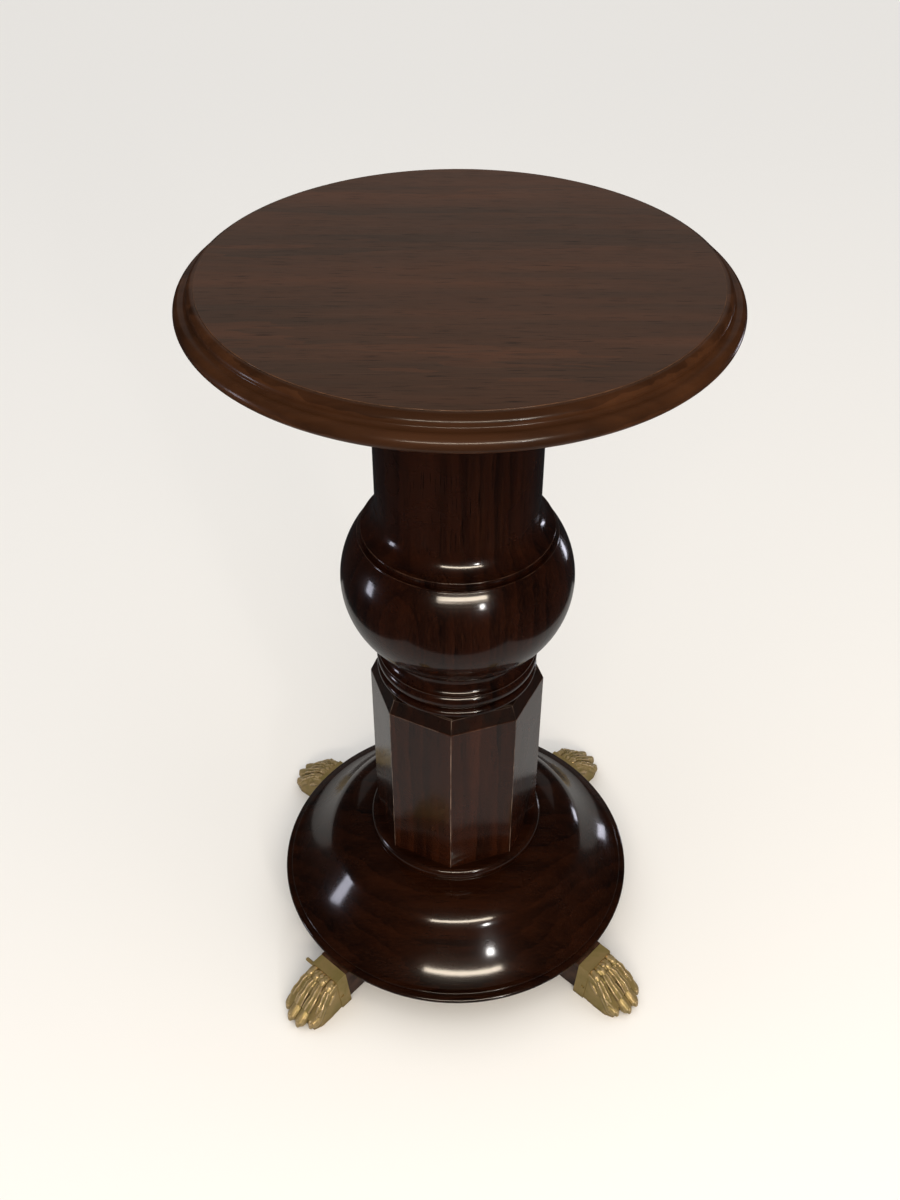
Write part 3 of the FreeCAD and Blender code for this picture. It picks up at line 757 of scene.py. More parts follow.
def joined(meshes: list[bpy.types.Mesh]) -> bpy.types.Mesh:
    """Puts several meshes into one, with their attributes.

    Args:
        meshes: the meshes.

    Returns:
        One mesh.
    """
    work = bmesh.new()
    for mesh in meshes:
        work.from_mesh(mesh)
    whole = bpy.data.meshes.new("joined")
    work.to_mesh(whole)
    work.free()
    return whole


def placed(mesh: bpy.types.Mesh, place: Matrix) -> bpy.types.Mesh:
    """A moved copy of a mesh.

    Args:
        mesh: the mesh.
        place: the transform.

    Returns:
        The copy.
    """
    copy = mesh.copy()
    copy.transform(place)
    return copy


def mark(mesh: bpy.types.Mesh, name: str, values: list[float] | np.ndarray) -> None:
    """Writes one number per point as an attribute.

    Args:
        mesh: the mesh.
        name: the attribute's name.
        values: a number for each point.
    """
    layer = mesh.attributes.get(name) or mesh.attributes.new(name, "FLOAT", "POINT")
    layer.data.foreach_set("value", np.asarray(values, dtype=np.float32))


def drilled(mesh: bpy.types.Mesh, cutters: list[bpy.types.Mesh]) -> bpy.types.Mesh:
    """Cuts closed shapes out of a closed mesh.

    Args:
        mesh: the mesh to cut.
        cutters: the shapes to take away.

    Returns:
        The cut mesh.
    """
    for cutter in cutters:
        mark(cutter, "wear", [0.0] * len(cutter.vertices))
        mark(cutter, "grime", [0.0] * len(cutter.vertices))
    holder = bpy.data.objects.new("work", mesh)
    tool = bpy.data.objects.new("tool", joined(cutters))
    for item in (holder, tool):
        bpy.context.scene.collection.objects.link(item)
    modifier = holder.modifiers.new("holes", "BOOLEAN")
    modifier.operation = "DIFFERENCE"
    modifier.solver = "EXACT"
    modifier.object = tool
    graph = bpy.context.evaluated_depsgraph_get()
    graph.update()
    result = bpy.data.meshes.new_from_object(holder.evaluated_get(graph), depsgraph=graph)
    for item in (holder, tool):
        bpy.data.objects.remove(item)
    return result


SHARP_ANGLE = math.radians(38)


def finished(name: str, mesh: bpy.types.Mesh, material: bpy.types.Material,
             nodes: list[str]) -> bpy.types.Object:
    """Makes a mesh a piece of the table and hands it to the frame.

    Args:
        name: the piece's name.
        mesh: its mesh, in place.
        material: its material.
        nodes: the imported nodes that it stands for.

    Returns:
        The piece.
    """
    mesh.name = name
    mesh.materials.clear()
    mesh.materials.append(material)
    mesh.polygons.foreach_set("use_smooth", [True] * len(mesh.polygons))
    mesh.set_sharp_from_angle(angle=SHARP_ANGLE)
    piece = bpy.data.objects.new(name, mesh)
    bpy.context.scene.collection.objects.link(piece)
    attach(piece, "root")
    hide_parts(*nodes)
    LOG.info("built %s: %d faces", name, len(mesh.polygons))
    return piece


class Lathe:
    """Turns outlines into closed meshes."""

    def __init__(self, facets: int = 224) -> None:
        """Sets up the lathe.

        Args:
            facets: how many steps make a full round.
        """
        self.facets = facets
        self.tree = turning_tree()

    def turn(self, outline: Outline, facets: int | None = None) -> bpy.types.Mesh:
        """Turns one outline about the upright axis.

        Args:
            outline: the outline.
            facets: steps in the round, if not the lathe's own.

        Returns:
            A closed mesh.
        """
        points, wear, grime = outline.softened()
        line = bpy.data.meshes.new("outline")
        steps = [(i, i + 1) for i in range(len(points) - 1)]
        line.from_pydata([(r, 0.0, z) for r, z in points], steps, [])
        mark(line, "wear", wear)
        mark(line, "grime", grime)
        mesh = run_tree(self.tree, line, {"Facets": facets or self.facets})
        return facing_out(mesh)


def top_and_floor(node: str) -> tuple[float, float]:
    """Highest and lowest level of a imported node.

    Args:
        node: the node's name.

    Returns:
        The levels in metres.
    """
    low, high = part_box(node)
    return high.z, low.z


def reach(node: str) -> float:
    """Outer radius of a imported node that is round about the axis.

    Args:
        node: the node's name.

    Returns:
        The radius in metres.
    """
    low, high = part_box(node)
    return max(high.x, high.y, -low.x, -low.y)


def around(radius: float, height: float, count: int, first: float = 0.0) -> list[Vector]:
    """Evenly spaced places on a level circle about the axis.

    Args:
        radius: the circle's radius.
        height: its level.
        count: how many places.
        first: the first one's angle.

    Returns:
        The places.
    """
    turns = [first + math.tau * index / count for index in range(count)]
    return [Vector((radius * math.cos(turn), radius * math.sin(turn), height)) for turn in turns]


# ------------------------------------------------------------------ marks of use
def edge_pairs(mesh: bpy.types.Mesh) -> tuple[np.ndarray, np.ndarray]:
    """The mesh's points and the pairs of them that edges join.

    Args:
        mesh: the mesh.

    Returns:
        The positions and the index pairs.
    """
    spots = np.empty(len(mesh.vertices) * 3)
    mesh.vertices.foreach_get("co", spots)
    pairs = np.empty(len(mesh.edges) * 2, dtype=np.int64)
    mesh.edges.foreach_get("vertices", pairs)
    return spots.reshape(-1, 3), pairs.reshape(-1, 2)


def averaged(values: np.ndarray, pairs: np.ndarray, rounds: int) -> np.ndarray:
    """Averages values with their neighbours again and again.

    Args:
        values: a row for each point.
        pairs: index pairs joined by an edge.
        rounds: how many times to average.

    Returns:
        The averaged rows.
    """
    count = np.zeros(len(values))
    for side in (0, 1):
        np.add.at(count, pairs[:, side], 1.0)
    count = np.maximum(count, 1.0)[:, None]
    for _ in range(rounds):
        total = np.zeros_like(values)
        for column in range(values.shape[1]):
            total[:, column] += np.bincount(pairs[:, 0], values[pairs[:, 1], column], len(values))
            total[:, column] += np.bincount(pairs[:, 1], values[pairs[:, 0], column], len(values))
        values = 0.5 * values + 0.5 * total / count
    return values


def mark_use(mesh: bpy.types.Mesh, rounds: int, depth: float) -> None:
    """Marks ridges as worn and hollows as grimy; on the brass the ridge mark also paints highlights.

    Args:
        mesh: the mesh.
        rounds: how widely the surface is averaged to find its ridges.
        depth: how far a point stands off that average to be fully marked.
    """
    spots, pairs = edge_pairs(mesh)
    normals = np.empty(len(mesh.vertices) * 3)
    mesh.vertices.foreach_get("normal", normals)
    off = ((averaged(spots, pairs, rounds) - spots) * normals.reshape(-1, 3)).sum(1)
    off = averaged(off[:, None], pairs, 1)[:, 0]
    mark(mesh, "wear", np.clip(-off / depth, 0.0, 1.0))
    mark(mesh, "grime", np.clip(off / depth, 0.0, 1.0))


SHARP_CORNER = math.radians(20)
WIDE_FACE = 16
EDGE_GUARD = 1.2


def soft_block(sections: list[tuple[float, list[Point]]], soft: float) -> bpy.types.Mesh:
    """Block through upright cross-sections along +X, its edges softened.

    Args:
        sections: each place along X and the (y, z) corners there, the same way round.
        soft: width of the softened edges.

    Returns:
        A closed mesh.
    """
    work = bmesh.new()
    rings = [[work.verts.new((x, y, z)) for y, z in corners] for x, corners in sections]
    count = len(rings[0])
    for near, far in zip(rings, rings[1:]):
        for index in range(count):
            ahead = (index + 1) % count
            work.faces.new((near[index], near[ahead], far[ahead], far[index]))
    work.faces.new(rings[0])
    work.faces.new(list(reversed(rings[-1])))
    edges = [edge for edge in work.edges if edge.calc_face_angle(0.0) > SHARP_CORNER]
    bmesh.ops.bevel(
        work, geom=edges, offset=soft, segments=3, profile=0.5, affect="EDGES", clamp_overlap=True)
    wide = [face for face in work.faces if face.calc_area() > WIDE_FACE * soft * soft]
    bmesh.ops.inset_individual(work, faces=wide, thickness=EDGE_GUARD * soft)
    bmesh.ops.recalc_face_normals(work, faces=work.faces)
    mesh = bpy.data.meshes.new("block")
    work.to_mesh(mesh)
    work.free()
    mark_use(mesh, 1, soft)
    return mesh


# ------------------------------------------------------------------ top group
@dataclass
class TableTop:
    """Round board with a flat field, quirked ovolo, cove and round nose."""

    finish: bpy.types.Material
    quirk_inset: float = 17.0 * MM
    quirk_depth: float = 0.9 * MM
    ovolo: Point = (6.6 * MM, 5.6 * MM)
    fillet: float = 1.1 * MM
    cove: Point = (3.6 * MM, 2.6 * MM)
    ledge: float = 2.2 * MM
    undercut: float = 5.4 * MM

    def build(self, lathe: Lathe) -> None:
        """Turns the board.

        Args:
            lathe: the lathe to turn it on.
        """
        high, low = top_and_floor("table_top")
        rim = reach("table_top")
        field_edge = rim - self.quirk_inset
        ovolo_top = (field_edge, high - self.quirk_depth)
        ovolo_end = (field_edge + self.ovolo[0], ovolo_top[1] - self.ovolo[1])
        cove_top = (ovolo_end[0], ovolo_end[1] - self.fillet)
        cove_end = (cove_top[0] + self.cove[0], cove_top[1] - self.cove[1])
        nose_top = (cove_end[0] + self.ledge, cove_end[1])
        nose_end = (rim - self.undercut, low)
        nose_mid = (rim, (nose_top[1] + low) / 2)
        outline = Outline(0.0, low)
        outline.to(*nose_end, 0.4 * MM)
        outline.along(arc(nose_end, nose_mid, nose_top, 16))
        outline.to(*cove_end, 0.3 * MM)
        outline.along(quarter(cove_end, cove_top, False, 8))
        outline.to(*ovolo_end, 0.3 * MM)
        outline.along(quarter(ovolo_end, ovolo_top, True, 10))
        outline.to(field_edge, high, 0.5 * MM)
        outline.to(0.0, high)
        mesh = lathe.turn(outline, 288)
        finished("table_top_board", mesh, self.finish, ["table_top"])


@dataclass
class TopBearer:
    """Round block screwed under the top, with its screws and the shaft's wedge."""

    wood: bpy.types.Material
    bore: float = 25.15 * MM
    rounding: float = 4.0 * MM
    screw_circle: float = 88.0 * MM
    screw_count: int = 6

    def places(self) -> list[Vector]:
        """Middles of the screw heads.

        Returns:
            A point for each screw.
        """
        _, low = top_and_floor("bearer_screws")
        return around(self.screw_circle, low, self.screw_count)

    def build(self, lathe: Lathe, screws: "Screws") -> None:
        """Turns the block, drills it and sets its screws and wedge.

        Args:
            lathe: the lathe to turn it on.
            screws: the maker of screws.
        """
        high, low = top_and_floor("top_bearer")
        rim = reach("top_bearer")
        outline = Outline(self.bore, low).to(rim - self.rounding, low)
        outline.along(quarter((rim - self.rounding, low), (rim, low + self.rounding), False))
        outline.to(rim, high, 0.4 * MM).to(self.bore, high, 0.3 * MM)
        mesh = lathe.turn(outline.close(), 160)
        mesh = drilled(mesh, [screws.sink(place, low) for place in self.places()])
        finished("bearer_block", mesh, self.wood, ["top_bearer"])
        screws.set("bearer_wood_screws", "bearer_screws", self.places(), 11)
        build_wedge("shaft_tenon_wedge", "shaft_wedge", self.wood)


def build_wedge(name: str, node: str, wood: bpy.types.Material) -> None:
    """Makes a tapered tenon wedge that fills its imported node's box.

    Args:
        name: the piece's name.
        node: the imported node.
        wood: its material.
    """
    low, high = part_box(node)
    thick, thin = high.y, 0.3 * high.y
    upper, lower = (thick, thin) if node == "shaft_wedge" else (thin, thick)
    corners = [(-lower, low.z), (lower, low.z), (upper, high.z), (-upper, high.z)]
    mesh = soft_block([(low.x, corners), (high.x, corners)], 0.25 * MM)
    finished(name, mesh, wood, [node])


class Screws:
    """Slotted countersunk wood screws, repeated by a geometry tree."""

    HEAD = 4.2 * MM
    SHANK = 2.2 * MM
    DEPTH = 2.8 * MM
    POINT = 4.0 * MM
    SLOT = 1.0 * MM
    GAP = 0.15 * MM
    PITCH = 1.4 * MM

    def __init__(self, lathe: Lathe, steel: bpy.types.Material) -> None:
        """Takes the lathe and the screws' material.

        Args:
            lathe: the lathe to turn them on.
            steel: their material.
        """
        self.lathe = lathe
        self.steel = steel
        self.tree = fixing_tree()

    def body(self, length: float) -> bpy.types.Mesh:
        """One screw, its head's face at the origin and its point up.

        Args:
            length: its whole length.

        Returns:
            Its mesh.
        """
        outline = Outline(0.0, 0.0).to(self.HEAD, 0.0, 0.25 * MM)
        outline.to(self.SHANK, self.DEPTH, 0.3 * MM).to(self.SHANK, length * 0.4)
        height = length * 0.4
        while height + self.PITCH < length - self.POINT:
            outline.to(self.SHANK * 0.72, height + 0.4 * self.PITCH)
            outline.to(self.SHANK, height + self.PITCH)
            height += self.PITCH
        outline.to(self.SHANK * 0.7, length - self.POINT).to(0.0, length)
        mesh = self.lathe.turn(outline, 24)
        half = self.SLOT / 2
        corners = [(-half, -half), (half, -half), (half, self.SLOT), (-half, self.SLOT)]
        slot = soft_block([(-2 * self.HEAD, corners), (2 * self.HEAD, corners)], 0.05 * MM)
        return drilled(mesh, [slot])

    def sink(self, place: Vector, face: float) -> bpy.types.Mesh:
        """Countersunk mouth of a screw's hole, to cut out of wood.

        Args:
            place: the middle of the screw's head.
            face: level of the wood's underside.

        Returns:
            A closed mesh.
        """
        head = self.HEAD + self.GAP
        outline = Outline(0.0, face - MM).to(head, face - MM).to(head, place.z)
        outline.to(self.SHANK + self.GAP, place.z + self.DEPTH)
        outline.to(self.SHANK + self.GAP, place.z + 2 * self.DEPTH).to(0.0, place.z + 2 * self.DEPTH)
        mesh = self.lathe.turn(outline, 32)
        mesh.transform(Matrix.Translation((place.x, place.y, 0.0)))
        return mesh

    def set(self, name: str, node: str, places: list[Vector], seed: int) -> None:
        """Sets one screw at each place.

        Args:
            name: the piece's name.
            node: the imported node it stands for.
            places: the middles of the heads.
            seed: seed of the slots' random turns.
        """
        high, low = top_and_floor(node)
        screw = bpy.data.objects.new("one screw", self.body(high - low))
        points = bpy.data.meshes.new("screw places")
        points.from_pydata([tuple(place) for place in places], [], [])
        aim = points.attributes.new("aim", "FLOAT_VECTOR", "POINT")
        aim.data.foreach_set("vector", [0.0, 0.0, 1.0] * len(places))
        mesh = run_tree(self.tree, points, {"Fixing": screw, "Seed": seed, "Finish": self.steel})
        bpy.data.objects.remove(screw)
        finished(name, mesh, self.steel, [node])


# ------------------------------------------------------------------ column
@dataclass
class Column:
    """Turned shaft, bulb and neck over the octagonal block."""

    wood: bpy.types.Material
    face_wood: bpy.types.Material
    bare: bpy.types.Material
    overhang: float = 13.8 * MM
    flare_height: float = 22.0 * MM
    flare_band: float = 5.9 * MM
    bulb_ledge: float = 3.2 * MM
    bulb_band: float = 1.0 * MM
    bulb_widest: float = 0.567
    band_inset: float = 4.3 * MM
    band_height: float = 4.0 * MM
    cove_inset: float = 1.0 * MM
    cove_sink: float = 2.4 * MM
    cove_height: float = 12.5 * MM
    quirk: float = 1.2 * MM
    torus: Point = (16.6 * MM, 5.2 * MM)
    neck_bead: Point = (8.0 * MM, 3.0 * MM)
    foot_inset: float = 1.5 * MM
    flats: float = 155.8 * MM
    turn: float = math.radians(-3.4)
    chamfer: Point = (5.6 * MM, 14.5 * MM)
    sides: int = 8
    arris: float = 1.1 * MM
    arris_steps: int = 4
    guard: float = 1.6 * MM
    tenon: float = 25.0 * MM

    def build(self, lathe: Lathe) -> None:
        """Makes the four pieces from the top down.

        Args:
            lathe: the lathe to turn them on.
        """
        self.build_shaft(lathe)
        self.build_bulb(lathe)
        self.build_neck(lathe)
        self.build_block(lathe)

    def build_shaft(self, lathe: Lathe) -> None:
        """Plain shaft with a flared foot.

        Args:
            lathe: the lathe.
        """
        _, high = top_and_floor("top_bearer")
        low, _ = top_and_floor("bulb")
        edge = reach("upper_shaft")
        shaft = edge - self.overhang
        band_top = low + self.flare_band
        flare_top = band_top + self.flare_height
        radius = (self.overhang ** 2 + self.flare_height ** 2) / (2 * self.overhang)
        half = math.asin(self.flare_height / radius) / 2
        middle = (shaft + radius * (1 - math.cos(half)), flare_top - radius * math.sin(half))
        outline = Outline(0.0, low).to(edge, low, 0.5 * MM).to(edge, band_top, 0.7 * MM)
        outline.along(arc((edge, band_top), middle, (shaft, flare_top), 18))
        outline.to(shaft, high).to(0.0, high)
        finished("column_shaft", lathe.turn(outline), self.wood, ["upper_shaft"])

    def build_bulb(self, lathe: Lathe) -> None:
        """Oval bulb with a flat ledge.

        Args:
            lathe: the lathe.
        """
        high, _ = top_and_floor("bulb")
        low, _ = top_and_floor("neck_collar")
        wide = reach("bulb")
        ledge = reach("upper_shaft") + self.bulb_ledge
        foot = reach("neck_collar") - self.band_inset
        middle = low + self.bulb_widest * (high - low)
        top = high - self.bulb_band
        above = (top - middle) / math.sqrt(1 - (ledge / wide) ** 2)
        below = (middle - low) / math.sqrt(1 - (foot / wide) ** 2)
        points = []
        steps = 44
        for step in range(1, steps + 1):
            height = low + (top - low) * step / steps
            share = (height - middle) / (above if height > middle else below)
            points.append((wide * math.sqrt(1 - share ** 2), height))
        outline = Outline(0.0, low).to(foot, low).along(points)
        outline.to(ledge, high, 0.45 * MM).to(0.0, high)
        finished("column_bulb", lathe.turn(outline), self.wood, ["bulb"])

    def build_neck(self, lathe: Lathe) -> None:
        """Band, cove, torus and bead.

        Args:
            lathe: the lathe.
        """
        high, low = top_and_floor("neck_collar")
        wide = reach("neck_collar")
        band = wide - self.band_inset
        band_floor = high - self.band_height
        cove_top = (band - self.cove_sink, band_floor)
        cove_end = (wide - self.cove_inset, band_floor - self.cove_height)
        torus_root = wide - self.torus[1]
        torus_top = cove_end[1] - self.quirk
        torus_floor = torus_top - self.torus[0]
        bead_root = wide - self.neck_bead[1]
        bead_top = torus_floor - self.quirk
        bead_floor = bead_top - self.neck_bead[0]
        foot = bead_root - self.foot_inset
        outline = Outline(0.0, low).to(foot, low).to(foot, bead_floor, 0.3 * MM)
        outline.to(bead_root, bead_floor, 0.2 * MM)
        outline.along(bead((bead_root, bead_floor), (bead_root, bead_top), self.neck_bead[1], 14))
        outline.to(torus_root, bead_top, 0.3 * MM).to(torus_root, torus_floor, 0.3 * MM)
        outline.along(bead((torus_root, torus_floor), (torus_root, torus_top), self.torus[1], 20))
        outline.to(cove_end[0], torus_top, 0.3 * MM).to(*cove_end, 0.3 * MM)
        outline.along(quarter(cove_end, cove_top, False, 14))
        outline.to(band, band_floor, 0.35 * MM).to(band, high, 0.3 * MM).to(0.0, high)
        finished("column_neck", lathe.turn(outline), self.wood, ["neck_collar"])

    def ring(self, work: bmesh.types.BMesh, apothem: float, height: float) -> list[tuple]:
        """One ring of the octagon, its arrises rounded and guarded.

        Args:
            work: the mesh to add points to.
            apothem: distance from the axis to the flats.
            height: the ring's level.

        Returns:
            The points, and how much wear and painted arris highlight each carries.
        """
        half = math.pi / self.sides
        centre = (apothem - self.arris) / math.cos(half)
        rows = []
        for side in range(self.sides):
            middle = self.turn - math.pi / 2 + side * 2 * half
            hub = Vector((centre * math.cos(middle), centre * math.sin(middle), height))
            for step in range(self.arris_steps + 1):
                angle = middle - half + 2 * half * step / self.arris_steps
                spot = hub + self.arris * Vector((math.cos(angle), math.sin(angle), 0.0))
                along = Vector((-math.sin(angle), math.cos(angle), 0.0))
                if step == 0:
                    rows.append((work.verts.new(spot - along * self.guard), 0.0))
                rows.append((work.verts.new(spot), math.sin(math.pi * step / self.arris_steps)))
                if step == self.arris_steps:
                    rows.append((work.verts.new(spot + along * self.guard), 0.0))
        return rows

    def build_block(self, lathe: Lathe) -> None:
        """Octagonal block, chamfered above, and the end of its through tenon.

        Args:
            lathe: the lathe, for the tenon.
        """
        high, _ = top_and_floor("octagonal_block")
        low, _ = top_and_floor("base_dome")
        full = self.flats / 2
        shoulder = high - self.chamfer[1]
        profile = Outline(0.0, low).to(full, low, 0.3 * MM).to(full, shoulder, 0.8 * MM)
        profile.to(full - self.chamfer[0], high, 0.5 * MM).to(0.0, high)
        points, wear, _ = profile.softened()
        work = bmesh.new()
        rings = [self.ring(work, apothem, height) for apothem, height in points[1:-1]]
        # Arris marks: wear, and a painted highlight line that the planed finish's pale rubbed colour draws
        # along each rounded arris.
        arris_wear_and_glint = [max(0.5 * w, side) for ring, w in zip(rings, wear[1:-1]) for _, side in ring]
        # Painted shade: the upward top chamfer gets most of the near-black grime colour, standing in for
        # the shade under the table top.
        shade_and_grime = [0.8 if height > shoulder + MM else 0.0 for _, height in points[1:-1] for _ in rings[0]]
        count = len(rings[0])
        for near, far in zip(rings, rings[1:]):
            for index in range(count):
                ahead = (index + 1) % count
                work.faces.new((near[index][0], near[ahead][0], far[ahead][0], far[index][0]))
        work.faces.new([row[0] for row in reversed(rings[0])])
        work.faces.new([row[0] for row in rings[-1]])
        mesh = bpy.data.meshes.new("octagon")
        work.to_mesh(mesh)
        work.free()
        mark(mesh, "wear", arris_wear_and_glint)
        mark(mesh, "grime", shade_and_grime)
        _, floor = top_and_floor("octagonal_block")
        end = Outline(0.0, floor).to(self.tenon, floor, 0.4 * MM).to(self.tenon, low).to(0.0, low)
        wedge_low, wedge_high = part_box("base_wedge")
        corners = [(wedge_low.y, floor - MM), (wedge_high.y, floor - MM),
                   (wedge_high.y, wedge_high.z), (wedge_low.y, wedge_high.z)]
        kerf = soft_block([(wedge_low.x, corners), (wedge_high.x, corners)], 0.05 * MM)
        tenon = drilled(lathe.turn(end, 96), [kerf])
        mesh = joined([mesh, tenon])
        finished("column_octagon", mesh, self.face_wood, ["octagonal_block"])
        build_wedge("base_tenon_wedge", "base_wedge", self.bare)


# ------------------------------------------------------------------ base
@dataclass
class Base:
    """Turned ogee with a ring, over a thin disc with a bead and a round rim."""

    wood: bpy.types.Material
    corner: float = 84.32 * MM
    ring_gap: float = 1.0 * MM
    ring_width: float = 6.8 * MM
    ring_height: float = 8.2 * MM
    ring_step: float = 3.0 * MM
    ring_ledge: float = 1.4 * MM
    shoulder: Point = (0.52, 0.345)
    slopes: tuple[float, float, float] = (0.0, 54.0, 32.0)
    edge_inset: float = 11.0 * MM
    bead_height: float = 3.0 * MM
    bead_inset: float = 7.6 * MM
    bead_depth: float = 1.4 * MM
    bead_lip: float = 0.4 * MM
    quirk: float = 1.6 * MM
    round_share: float = 0.6
    chamfer: float = 1.2 * MM
    screw_inset: float = 70.5 * MM
    screw_count: int = 4
    screw_turn: float = math.radians(4.0)
    tenon_hole: float = 25.15 * MM

    def build(self, lathe: Lathe, screws: Screws) -> None:
        """Makes the dome, the disc and its screws.

        Args:
            lathe: the lathe.
            screws: the maker of screws.
        """
        self.build_dome(lathe)
        self.build_disc(lathe, screws)

    def ogee(self, low: Point, high: Point) -> list[Point]:
        """Side of the dome from its lower edge up to the ring's foot.

        Args:
            low: the lower edge.
            high: the ring's foot.

        Returns:
            The points after the first.
        """
        run, drop = low[0] - high[0], high[1] - low[1]
        middle = (high[0] + self.shoulder[0] * run, high[1] - self.shoulder[1] * drop)
        knots = [np.array(low), np.array(middle), np.array(high)]
        angles = [math.radians(a) for a in reversed(self.slopes)]
        ways = [np.array((-math.cos(a), math.sin(a))) for a in angles]
        points = []
        steps = 24
        for start, end, leave, come in zip(knots, knots[1:], ways, ways[1:]):
            chord = np.linalg.norm(end - start)
            for step in range(1, steps + 1):
                t = step / steps
                spot = (2 * t ** 3 - 3 * t ** 2 + 1) * start + (t ** 3 - 2 * t ** 2 + t) * chord * leave
                spot = spot + (3 * t ** 2 - 2 * t ** 3) * end + (t ** 3 - t ** 2) * chord * come
                points.append((float(spot[0]), float(spot[1])))
        return points

    def build_dome(self, lathe: Lathe) -> None:
        """The ogee and the ring around the octagon's foot.

        Args:
            lathe: the lathe.
        """
        high, low = top_and_floor("base_dome")
        edge = reach("base_board") - self.edge_inset
        ring_in, ring_out = self.corner + self.ring_gap, self.corner + self.ring_width
        ring_side = high - self.ring_height
        ring_foot = ring_side - self.ring_step
        outline = Outline(0.0, low).to(edge, low)
        outline.along(self.ogee((edge, low), (ring_out + self.ring_ledge, ring_foot)))
        outline.to(ring_out, ring_foot, 0.35 * MM).to(ring_out, ring_side)
        outline.along(quarter((ring_out, ring_side), (ring_in, high), True, 12))
        outline.to(0.0, high)
        mesh = lathe.turn(outline, 256)
        finished("base_ogee", mesh, self.wood, ["base_dome"])

    def screw_places(self) -> list[Vector]:
        """Middles of the disc's screw heads.

        Returns:
            A point for each screw.
        """
        _, low = top_and_floor("board_screws")
        circle = reach("base_board") - self.screw_inset
        return around(circle, low, self.screw_count, self.screw_turn)

    def build_disc(self, lathe: Lathe, screws: Screws) -> None:
        """The thin disc, its bead and rim, and its screws.

        Args:
            lathe: the lathe.
            screws: the maker of screws.
        """
        high, low = top_and_floor("base_board")
        rim = reach("base_board")
        root = rim - self.bead_inset
        bead_floor, bead_top = high - self.bead_height, high - self.bead_lip
        rim_in = (root + self.quirk, bead_floor)
        rim_out = (rim, bead_floor - (bead_floor - low) * self.round_share)
        outline = Outline(0.0, low).to(rim - self.chamfer, low, 0.3 * MM)
        outline.to(rim, low + self.chamfer, 0.3 * MM).to(*rim_out)
        outline.along(quarter(rim_out, rim_in, True, 10))
        outline.to(root, bead_floor, 0.3 * MM)
        outline.along(bead((root, bead_floor), (root, bead_top), self.bead_depth, 10))
        outline.to(rim - self.edge_inset + 0.3 * MM, high).to(0.0, high)
        mesh = lathe.turn(outline, 256)
        hole = Outline(0.0, low - MM).to(self.tenon_hole, low - MM)
        hole.to(self.tenon_hole, high - MM).to(0.0, high - MM)
        cutters = [screws.sink(place, low) for place in self.screw_places()] + [lathe.turn(hole, 96)]
        mesh = drilled(mesh, cutters)
        finished("base_disc", mesh, self.wood, ["base_board"])
        screws.set("disc_wood_screws", "board_screws", self.screw_places(), 23)


# ------------------------------------------------------------------ feet
@dataclass(frozen=True)
class FootPlace:
    """Where one foot points and how far it is set in."""

    name: str
    angle: float
    inset: float

    def matrix(self) -> Matrix:
        """Transform from the foot's own frame, +X outwards, to the table's.

        Returns:
            The transform.
        """
        turn = Matrix.Rotation(math.radians(self.angle), 4, "Z")
        return turn @ Matrix.Translation((-self.inset, 0.0, 0.0))


FEET = [
    FootPlace("rear_right", 47.0, 9.0 * MM),
    FootPlace("rear_left", 141.0, 9.0 * MM),
    FootPlace("front_left", 228.9, 0.0),
    FootPlace("front_right", 317.4, 0.0),
]


